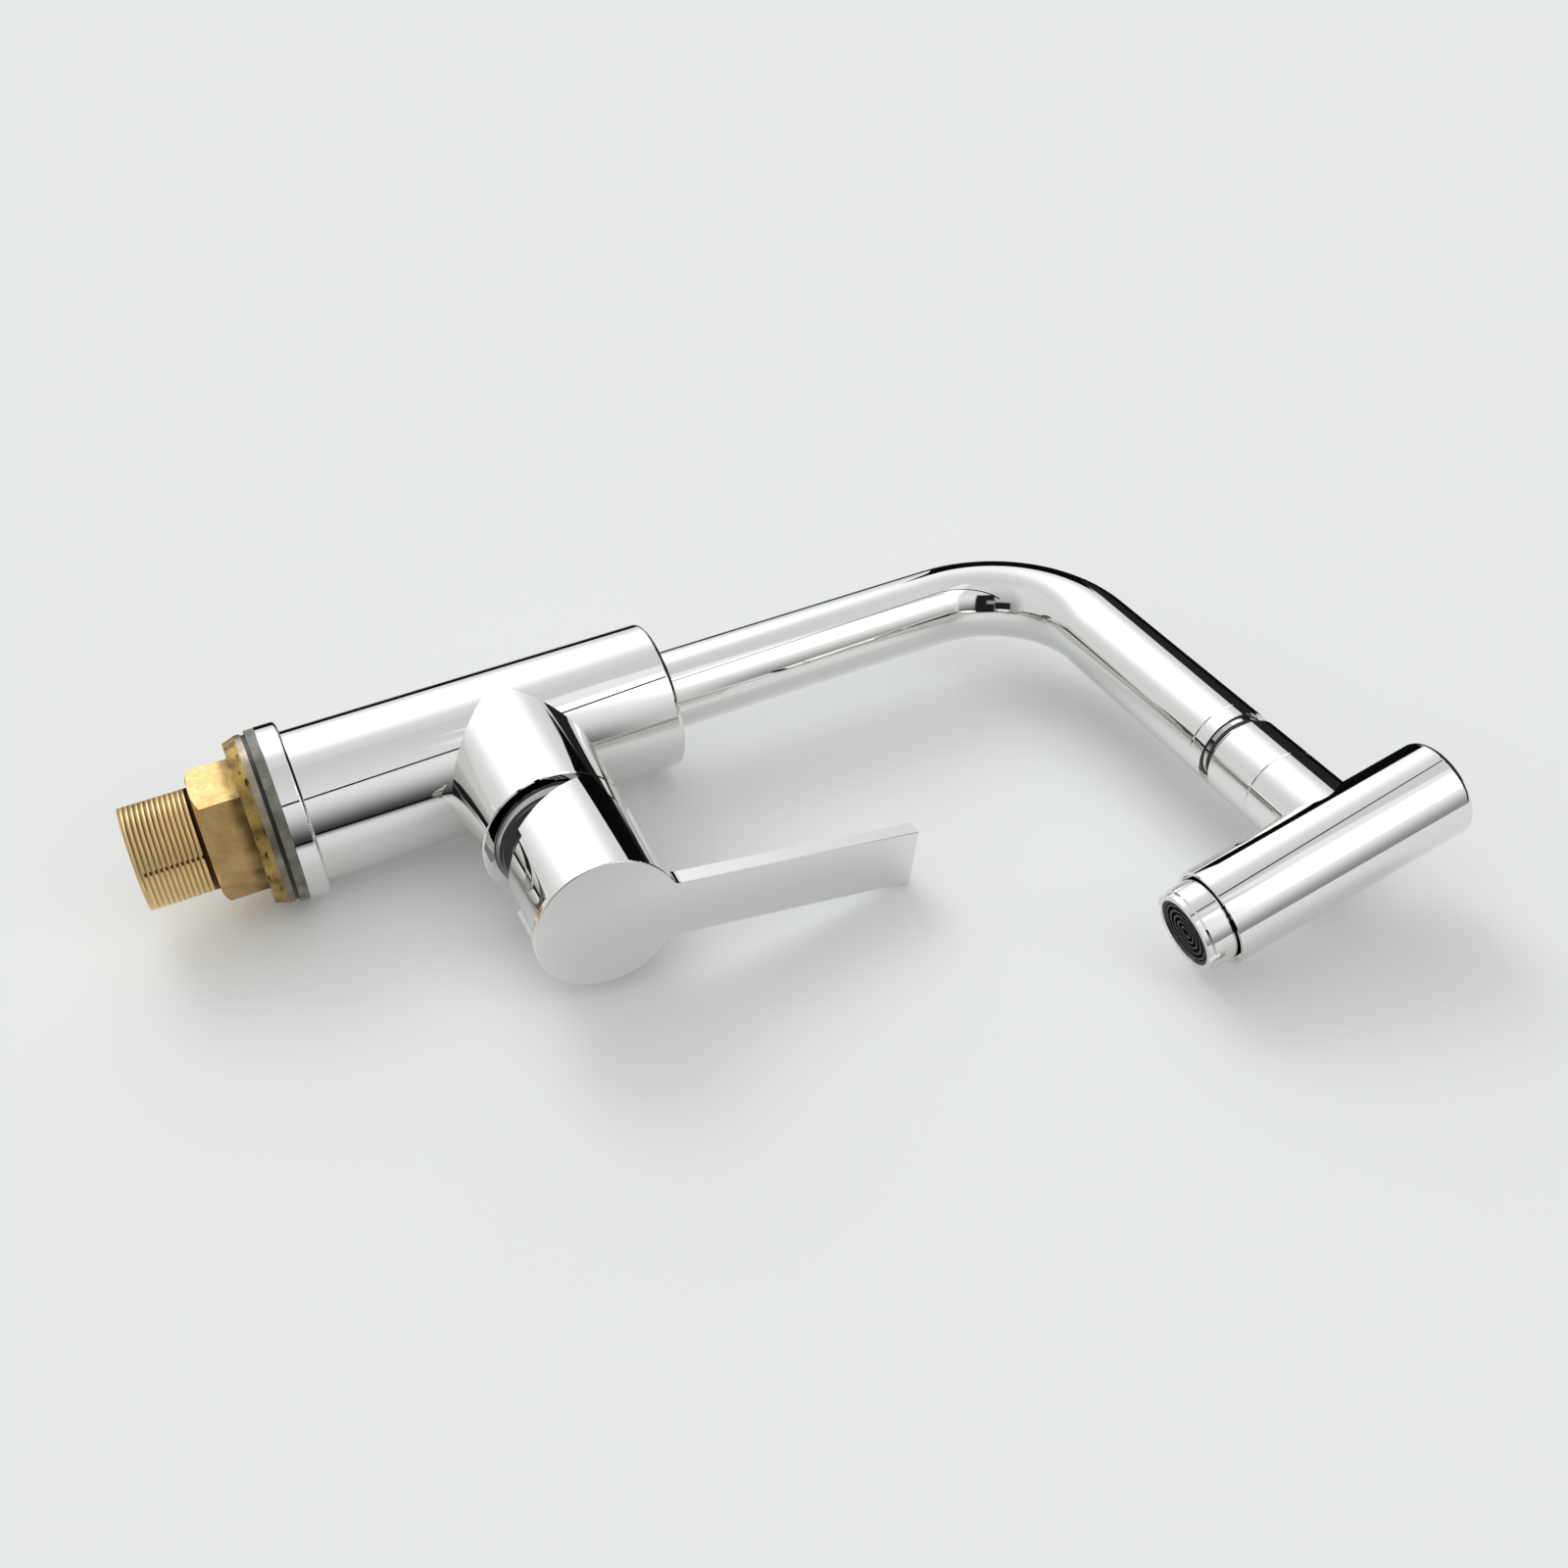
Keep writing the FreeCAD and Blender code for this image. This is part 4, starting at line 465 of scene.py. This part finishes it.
def hollow_rod(tree, given):
    """The rod at the thread's root: a flat rectangle swept round a circle."""
    root = root_radius(tree, given)
    wall = add(tree, "ShaderNodeMath", {0: root, 1: given["Bore"]}, operation="SUBTRACT").outputs[0]
    total = add(tree, "ShaderNodeMath", {0: root, 1: given["Bore"]}, operation="ADD").outputs[0]
    middle = add(tree, "ShaderNodeMath", {0: total, 1: 0.5}, operation="MULTIPLY").outputs[0]
    half = add(tree, "ShaderNodeMath", {0: given["Length"], 1: 0.5}, operation="MULTIPLY").outputs[0]
    centre = add(tree, "ShaderNodeMath", {0: given["Low"], 1: half}, operation="ADD").outputs[0]
    lift = add(tree, "ShaderNodeCombineXYZ", {"Z": centre}).outputs[0]
    ring = add(tree, "GeometryNodeCurvePrimitiveCircle", {"Resolution": THREAD_SEGMENTS, "Radius": middle})
    section = add(tree, "GeometryNodeCurvePrimitiveQuadrilateral", {"Width": wall, "Height": given["Length"]})
    rod = add(tree, "GeometryNodeCurveToMesh",
              {"Curve": ring.outputs[0], "Profile Curve": section.outputs[0]})
    raised = add(tree, "GeometryNodeTransform", {"Geometry": rod.outputs[0], "Translation": lift})
    return raised.outputs[0]


def helix_line(tree, given):
    """The helix at the thread's root, which shrinks to nothing at both ends, where the thread runs out."""
    root = root_radius(tree, given)
    rise = add(tree, "ShaderNodeMath", {0: given["Turns"], 1: given["Pitch"]}, operation="MULTIPLY")
    helix = add(tree, "GeometryNodeCurveSpiral",
                {"Resolution": THREAD_SEGMENTS, "Rotations": given["Turns"], "Start Radius": root,
                 "End Radius": root, "Height": rise.outputs[0]})
    share = add(tree, "GeometryNodeSplineParameter").outputs["Factor"]
    width = band(tree, share, low=RUN_OUT_SHARE, high=1 - RUN_OUT_SHARE, blur=RUN_OUT_SHARE)
    sized = add(tree, "GeometryNodeSetCurveRadius", {"Curve": helix.outputs[0], "Radius": width})
    return add(tree, "GeometryNodeSetCurveNormal", {"Curve": sized.outputs[0]}, mode="Z_UP").outputs[0]


def ridge_section(tree, given):
    """The ridge's section: a trapezium with its foot a little inside the rod and its crest outward."""
    tall = add(tree, "ShaderNodeMath", {0: given["Depth"], 1: RIDGE_OVERLAP * MM}, operation="ADD").outputs[0]
    section = add(tree, "GeometryNodeCurvePrimitiveQuadrilateral",
                  {"Height": tall, "Bottom Width": given["Pitch"], "Top Width": given["Crest"],
                   "Offset": 0.0}, mode="TRAPEZOID")
    middle = add(tree, "ShaderNodeMath", {0: given["Depth"], 1: 0.5}, operation="MULTIPLY").outputs[0]
    out = add(tree, "ShaderNodeCombineXYZ", {"X": middle}).outputs[0]
    quarter_back = (0, 0, -math.pi / 2)
    return add(tree, "GeometryNodeTransform",
               {"Geometry": section.outputs[0], "Translation": out, "Rotation": quarter_back}).outputs[0]


def wound_ridge(tree, given):
    """The thread's ridge: a trapezium swept along a helix, nicked along one line."""
    ridge = add(tree, "GeometryNodeCurveToMesh",
                {"Curve": helix_line(tree, given), "Profile Curve": ridge_section(tree, given),
                 "Fill Caps": True})
    start = add(tree, "ShaderNodeMath", {0: given["Pitch"], 1: 0.5}, operation="MULTIPLY").outputs[0]
    low = add(tree, "ShaderNodeMath", {0: given["Low"], 1: start}, operation="ADD").outputs[0]
    lift = add(tree, "ShaderNodeCombineXYZ", {"Z": low}).outputs[0]
    raised = add(tree, "GeometryNodeTransform", {"Geometry": ridge.outputs[0], "Translation": lift})
    return nicked(tree, given, raised.outputs[0])


def nicked(tree, given, ridge):
    """Each turn of the ridge pressed in where the straight mark crosses it."""
    spot = add(tree, "GeometryNodeInputPosition").outputs[0]
    flat = add(tree, "ShaderNodeVectorMath", {0: spot, 1: (1, 1, 0)}, operation="MULTIPLY").outputs[0]
    away = add(tree, "ShaderNodeVectorMath", {0: flat}, operation="LENGTH").outputs["Value"]
    outward = add(tree, "ShaderNodeVectorMath", {0: flat}, operation="NORMALIZE").outputs[0]
    mark = (math.cos(THREAD_MARK_ANGLE), math.sin(THREAD_MARK_ANGLE), 0)
    near = add(tree, "ShaderNodeVectorMath", {0: outward, 1: mark}, operation="DOT_PRODUCT").outputs["Value"]
    beside = math.cos(math.pi / THREAD_SEGMENTS)
    on_line = add(tree, "ShaderNodeMath", {0: near, 1: beside}, operation="GREATER_THAN").outputs[0]
    crest = add(tree, "ShaderNodeMath", {0: given["Radius"], 1: given["Mark Depth"]}, operation="SUBTRACT")
    proud = add(tree, "ShaderNodeMath", {0: away, 1: crest.outputs[0]}, operation="GREATER_THAN").outputs[0]
    chosen = add(tree, "ShaderNodeMath", {0: on_line, 1: proud}, operation="MULTIPLY").outputs[0]
    inward = add(tree, "ShaderNodeMath", {0: given["Mark Depth"], 1: -1.0}, operation="MULTIPLY").outputs[0]
    push = add(tree, "ShaderNodeVectorMath", {0: outward, "Scale": inward}, operation="SCALE").outputs[0]
    return add(tree, "GeometryNodeSetPosition",
               {"Geometry": ridge, "Selection": chosen, "Offset": push}).outputs[0]


def grow(name, tree, inputs):
    """The plain mesh object that a geometry tree makes from these inputs."""
    seed = bpy.data.objects.new(name + "_seed", bpy.data.meshes.new(name + "_seed"))
    bpy.context.scene.collection.objects.link(seed)
    modifier = seed.modifiers.new("shape", "NODES")
    modifier.node_group = tree
    for socket in tree.interface.items_tree:
        if socket.in_out == "INPUT":
            modifier[socket.identifier] = inputs[socket.name]
    grown = seed.evaluated_get(bpy.context.evaluated_depsgraph_get())
    piece = bpy.data.objects.new(name, bpy.data.meshes.new_from_object(grown))
    bpy.data.objects.remove(seed)
    bpy.context.scene.collection.objects.link(piece)
    return piece


def make_thread(brass):
    """The shank with its real helical thread, in place of the plain one."""
    inputs = {name: value if name == "Turns" else value * MM for name, value in THREAD.items()}
    piece = grow("cut_thread", thread_tree(), {**inputs, "Brass": brass})
    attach(piece, "tap")
    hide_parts("threaded_shank")


def make_camera():
    """The photograph's camera."""
    data = bpy.data.cameras.new("camera")
    data.lens = FOCAL_LENGTH
    data.sensor_width = SENSOR_WIDTH
    data.clip_start = CLIP_NEAR
    data.clip_end = CLIP_FAR
    camera = bpy.data.objects.new("camera", data)
    bpy.context.scene.collection.objects.link(camera)
    back = -CAMERA_FORWARD.normalized()
    right = CAMERA_UP.cross(back).normalized()
    up = back.cross(right)
    turn = Matrix((right, up, back)).transposed().to_4x4()
    camera.matrix_world = Matrix.Translation(CAMERA_PLACE) @ turn
    bpy.context.scene.camera = camera


def make_table():
    """A pale table top, seen from its upper side only, with its near edge just below the picture."""
    outward = CAMERA_FORWARD.copy()
    outward.y = 0
    outward.normalize()
    across = outward.cross(TABLE_UP)
    under_camera = CAMERA_PLACE.copy()
    under_camera.y = TABLE_HEIGHT
    corners = []
    for reach, side in ((TABLE_NEAR, -1), (TABLE_NEAR, 1), (TABLE_FAR, 1), (TABLE_FAR, -1)):
        corners.append(under_camera + outward * reach + across * (side * TABLE_HALF_WIDTH))
    mesh = bpy.data.meshes.new("table")
    mesh.from_pydata([tuple(corner) for corner in corners], [], [(0, 1, 2, 3)])
    if mesh.polygons[0].normal.dot(TABLE_UP) < 0:
        mesh.flip_normals()
    table = bpy.data.objects.new("table", mesh)
    bpy.context.scene.collection.objects.link(table)
    mesh.materials.append(table_material())


def table_material():
    """Matt pale laminate, clear from behind so that other views look through it.

    The trace of glow stands in for the light that a white tent throws back under the tap.
    """
    material, tree = start_material("pale_laminate")
    pale = add(tree, "ShaderNodeBsdfDiffuse", {"Color": colour("#EBEDEC")})
    glow = add(tree, "ShaderNodeEmission", {"Color": colour("#FBFDFB"), "Strength": TABLE_GLOW})
    lit = add(tree, "ShaderNodeAddShader", {0: pale.outputs[0], 1: glow.outputs[0]})
    card = add(tree, "ShaderNodeBsdfDiffuse", {"Color": colour(CARD_COLOUR)})
    carded = add(tree, "ShaderNodeMixShader", {0: table_cards(tree), 1: lit.outputs[0], 2: card.outputs[0]})
    clear = add(tree, "ShaderNodeBsdfTransparent")
    behind = add(tree, "ShaderNodeNewGeometry").outputs["Backfacing"]
    both = add(tree, "ShaderNodeMixShader", {0: behind, 1: carded.outputs[0], 2: clear.outputs[0]})
    add(tree, "ShaderNodeOutputMaterial", {"Surface": both.outputs[0]})
    return material


def table_cards(tree):
    """Where dark cards lie on the table, which only reflections show: in front, past the arm, behind."""
    parts = add(tree, "ShaderNodeSeparateXYZ", {0: spot_in_mm(tree)}).outputs
    before = band(tree, parts["X"], **FRONT_CARD_X)
    beside = band(tree, parts["Z"], **FRONT_CARD_Z)
    front = add(tree, "ShaderNodeMath", {0: before, 1: beside}, operation="MULTIPLY").outputs[0]
    over = band(tree, parts["Z"], **ARM_CARD_Z)
    within = band(tree, parts["X"], **ARM_CARD_X)
    past = add(tree, "ShaderNodeMath", {0: over, 1: within}, operation="MULTIPLY").outputs[0]
    after = band(tree, parts["X"], **REAR_CARD_X)
    shade = add(tree, "ShaderNodeMapRange", {"Value": parts["X"], **REAR_CARD_SHADE}).outputs[0]
    rear = add(tree, "ShaderNodeMath", {0: after, 1: shade}, operation="MULTIPLY").outputs[0]
    some = add(tree, "ShaderNodeMath", {0: past, 1: rear}, operation="MAXIMUM").outputs[0]
    some = add(tree, "ShaderNodeMath", {0: front, 1: some}, operation="MAXIMUM").outputs[0]
    mirrored = add(tree, "ShaderNodeLightPath").outputs["Is Glossy Ray"]
    return add(tree, "ShaderNodeMath", {0: some, 1: mirrored}, operation="MULTIPLY").outputs[0]


class Studio:
    """The room round the table, painted by direction: bearing about the table's normal, and rise."""

    def __init__(self, tree):
        self.tree = tree
        self.way = add(tree, "ShaderNodeTexCoord").outputs["Generated"]
        parts = add(tree, "ShaderNodeSeparateXYZ", {0: self.way}).outputs
        turn = add(tree, "ShaderNodeMath", {0: parts["X"], 1: parts["Z"]}, operation="ARCTAN2").outputs[0]
        up = add(tree, "ShaderNodeMath", {0: parts["Y"], 1: -1.0}, operation="MULTIPLY").outputs[0]
        rise = add(tree, "ShaderNodeMath", {0: up}, operation="ARCSINE").outputs[0]
        self.bearing = add(tree, "ShaderNodeMath", {0: turn}, operation="DEGREES").outputs[0]
        self.rise = add(tree, "ShaderNodeMath", {0: rise}, operation="DEGREES").outputs[0]
        self.light = add(tree, "ShaderNodeMapRange", {"Value": self.rise, **ROOM_LIGHT},
                         interpolation_type="SMOOTHSTEP").outputs[0]

    def window(self, angle, start, end, blur):
        """1 between two angles and 0 outside them, with both edges blurred."""
        inside = {"Value": angle, "From Min": start - blur, "From Max": start + blur}
        outside = {"Value": angle, "From Min": end + blur, "From Max": end - blur}
        opened = add(self.tree, "ShaderNodeMapRange", inside, interpolation_type="SMOOTHSTEP").outputs[0]
        closed = add(self.tree, "ShaderNodeMapRange", outside, interpolation_type="SMOOTHSTEP").outputs[0]
        return add(self.tree, "ShaderNodeMath", {0: opened, 1: closed}, operation="MULTIPLY").outputs[0]

    def mix(self, level, share):
        """Replaces a share of the light."""
        mixed = add(self.tree, "ShaderNodeMix", {"Factor": share, "A": self.light, "B": level},
                    data_type="FLOAT")
        self.light = mixed.outputs["Result"]

    def panel(self, level, bearings, rises, blur):
        """Puts light in a patch of directions: one level, or a climb between two levels from rise to rise."""
        if isinstance(level, dict):
            level = add(self.tree, "ShaderNodeMapRange", {"Value": self.rise, **level},
                        interpolation_type="SMOOTHSTEP").outputs[0]
        side = self.window(self.bearing, bearings[0], bearings[1], blur)
        tall = self.window(self.rise, rises[0], rises[1], blur)
        share = add(self.tree, "ShaderNodeMath", {0: side, 1: tall}, operation="MULTIPLY").outputs[0]
        self.mix(level, share)

    def softbox(self):
        """A round softbox: light that falls off with the angle from its middle."""
        bearing = math.radians(SOFTBOX_BEARING)
        rise = math.radians(SOFTBOX_RISE)
        middle = (math.sin(bearing) * math.cos(rise), -math.sin(rise), math.cos(bearing) * math.cos(rise))
        near = add(self.tree, "ShaderNodeVectorMath", {0: self.way, 1: middle}, operation="DOT_PRODUCT")
        apart = add(self.tree, "ShaderNodeMath", {0: near.outputs["Value"]}, operation="ARCCOSINE").outputs[0]
        angle = add(self.tree, "ShaderNodeMath", {0: apart}, operation="DEGREES").outputs[0]
        share = add(self.tree, "ShaderNodeMath", {0: angle, 1: SOFTBOX_EDGE}, operation="DIVIDE").outputs[0]
        level = add(self.tree, "ShaderNodeMath", {0: self.softbox_fall(share), 1: BRIGHTEST},
                    operation="MULTIPLY").outputs[0]
        before_middle = -3 * SOFTBOX_BLUR
        self.mix(level, self.window(angle, before_middle, SOFTBOX_EDGE - SOFTBOX_BLUR, SOFTBOX_BLUR))

    def softbox_fall(self, share):
        """The softbox's light, as a share of the brightest, at a share of the way out to its edge."""
        fall = add(self.tree, "ShaderNodeFloatCurve", {"Value": share})
        curve = fall.mapping.curves[0]
        spots = [(degrees / SOFTBOX_EDGE, level / BRIGHTEST) for degrees, level in SOFTBOX_LIGHT]
        curve.points[0].location = spots[0]
        curve.points[1].location = spots[-1]
        for spot in spots[1:-1]:
            curve.points.new(*spot)
        for point in curve.points:
            point.handle_type = "VECTOR"
        fall.mapping.update()
        return fall.outputs[0]

    def gap(self, level, bearings, left, right):
        """A gap in the tent between two bearings, under two edges that slope from one rise to another."""
        edges = []
        for start, end, first, last in (left, right):
            slope = {"Value": self.bearing, "From Min": start, "From Max": end, "To Min": first,
                     "To Max": last}
            edges.append(add(self.tree, "ShaderNodeMapRange", slope).outputs[0])
        edge = add(self.tree, "ShaderNodeMath", {0: edges[0], 1: edges[1]}, operation="MINIMUM").outputs[0]
        above = add(self.tree, "ShaderNodeMath", {0: self.rise, 1: edge}, operation="SUBTRACT").outputs[0]
        under = add(self.tree, "ShaderNodeMapRange",
                    {"Value": above, "From Min": GAP_EDGE_BLUR, "From Max": -GAP_EDGE_BLUR}).outputs[0]
        side = self.window(self.bearing, bearings[0], bearings[1], GAP_SIDE_BLUR)
        share = add(self.tree, "ShaderNodeMath", {0: side, 1: under}, operation="MULTIPLY").outputs[0]
        self.mix(level, share)


def hang_left_cloth(room):
    """The tent's cloth on the camera's left and past the shank's end, dimmer low down."""
    beside_camera = {"From Min": 0, "From Max": 72, "To Min": 0.38, "To Max": 0.74}
    past_shank = {"From Min": 0, "From Max": 60, "To Min": 0.75, "To Max": 0.8}
    room.panel(beside_camera, bearings=(112, 200), rises=(-90, 100), blur=9)
    room.panel(past_shank, bearings=(155, 200), rises=(-90, 70), blur=9)
    room.panel(past_shank, bearings=(-200, -133), rises=(-90, 70), blur=9)


def hang_front_cloth(room):
    """The tent's front round the camera: bright to its right, dimmer behind it, grey at its foot."""
    right_of_camera = {"From Min": -3, "From Max": 36, "To Min": 0.3, "To Max": 1.1}
    behind_camera = {"From Min": -8, "From Max": 42, "To Min": 0.04, "To Max": 0.90}
    roof_strip = 1.0
    bright_panel = 1.6
    room.panel(roof_strip, bearings=(36, 62), rises=(63, 75), blur=2)
    room.panel(right_of_camera, bearings=(54, 74), rises=(-90, 64), blur=3)
    room.panel(bright_panel, bearings=(44, 71), rises=(30, 62), blur=3)
    room.panel(behind_camera, bearings=(76.5, 118), rises=(-90, 45.5), blur=3)


def cut_front_openings(room):
    """The dark openings beside the camera, a dim patch in the first and a lit strip under the second."""
    dim_patch = 0.35
    lit_strip = 1.0
    room.panel(DARK_OPENING, bearings=(98, 123), rises=(-8, 44), blur=2)
    room.panel(dim_patch, bearings=(113, 124), rises=(17, 27), blur=2)
    room.panel(DARK_OPENING, bearings=(123, 143), rises=(2, 22), blur=2)
    room.panel(lit_strip, bearings=(127, 141), rises=(-7, 1), blur=1)


def cut_right_gap(room):
    """The dark gap on the right, up the body's axis: each edge gives its bearings, then its rises there."""
    left_edge = (-54, -30, 7, 55)
    right_edge = (20, 55, 57, 5)
    room.gap(DARK_GAP, bearings=(-57, 56), left=left_edge, right=right_edge)


def make_studio():
    """A white tent: a softbox behind the tap, panels round the camera and a dark gap on the right."""
    world = bpy.data.worlds.new("studio")
    world.use_nodes = True
    tree = world.node_tree
    tree.nodes.clear()
    room = Studio(tree)
    hang_left_cloth(room)
    room.softbox()
    hang_front_cloth(room)
    cut_front_openings(room)
    cut_right_gap(room)
    room.panel(DARK_FLOOR, bearings=(-200, 200), rises=(-100, -8), blur=1)
    seen = add(tree, "ShaderNodeLightPath").outputs["Is Camera Ray"]
    room.mix(ROOM_SEEN, seen)
    tint = add(tree, "ShaderNodeVectorMath", {0: ROOM_TINT, "Scale": room.light}, operation="SCALE")
    glow = add(tree, "ShaderNodeBackground", {"Color": tint.outputs[0]})
    add(tree, "ShaderNodeOutputWorld", {"Surface": glow.outputs[0]})
    bpy.context.scene.world = world


def make_card(name, corners):
    """A black card that only reflections show, as a photographer's cards stand outside the picture."""
    mesh = bpy.data.meshes.new(name)
    mesh.from_pydata([tuple(Vector(corner) * MM) for corner in corners], [], [tuple(range(len(corners)))])
    card = bpy.data.objects.new(name, mesh)
    bpy.context.scene.collection.objects.link(card)
    material, tree = start_material(name)
    black = add(tree, "ShaderNodeBsdfDiffuse", {"Color": colour(CARD_COLOUR)})
    add(tree, "ShaderNodeOutputMaterial", {"Surface": black.outputs[0]})
    mesh.materials.append(material)
    card.visible_camera = False
    card.visible_diffuse = False
    card.visible_shadow = False


def make_cards():
    """The card at the right, and the dark seam between the tent's roof and its front panel."""
    make_card("side_card", SIDE_CARD)
    make_card("roof_seam", ROOF_SEAM)


lathe_brass = turned_brass()
dress_all(lathe_brass)
make_thread(lathe_brass)
make_camera()
make_table()
make_studio()
make_cards()
bpy.context.scene.view_settings.view_transform = "Standard"
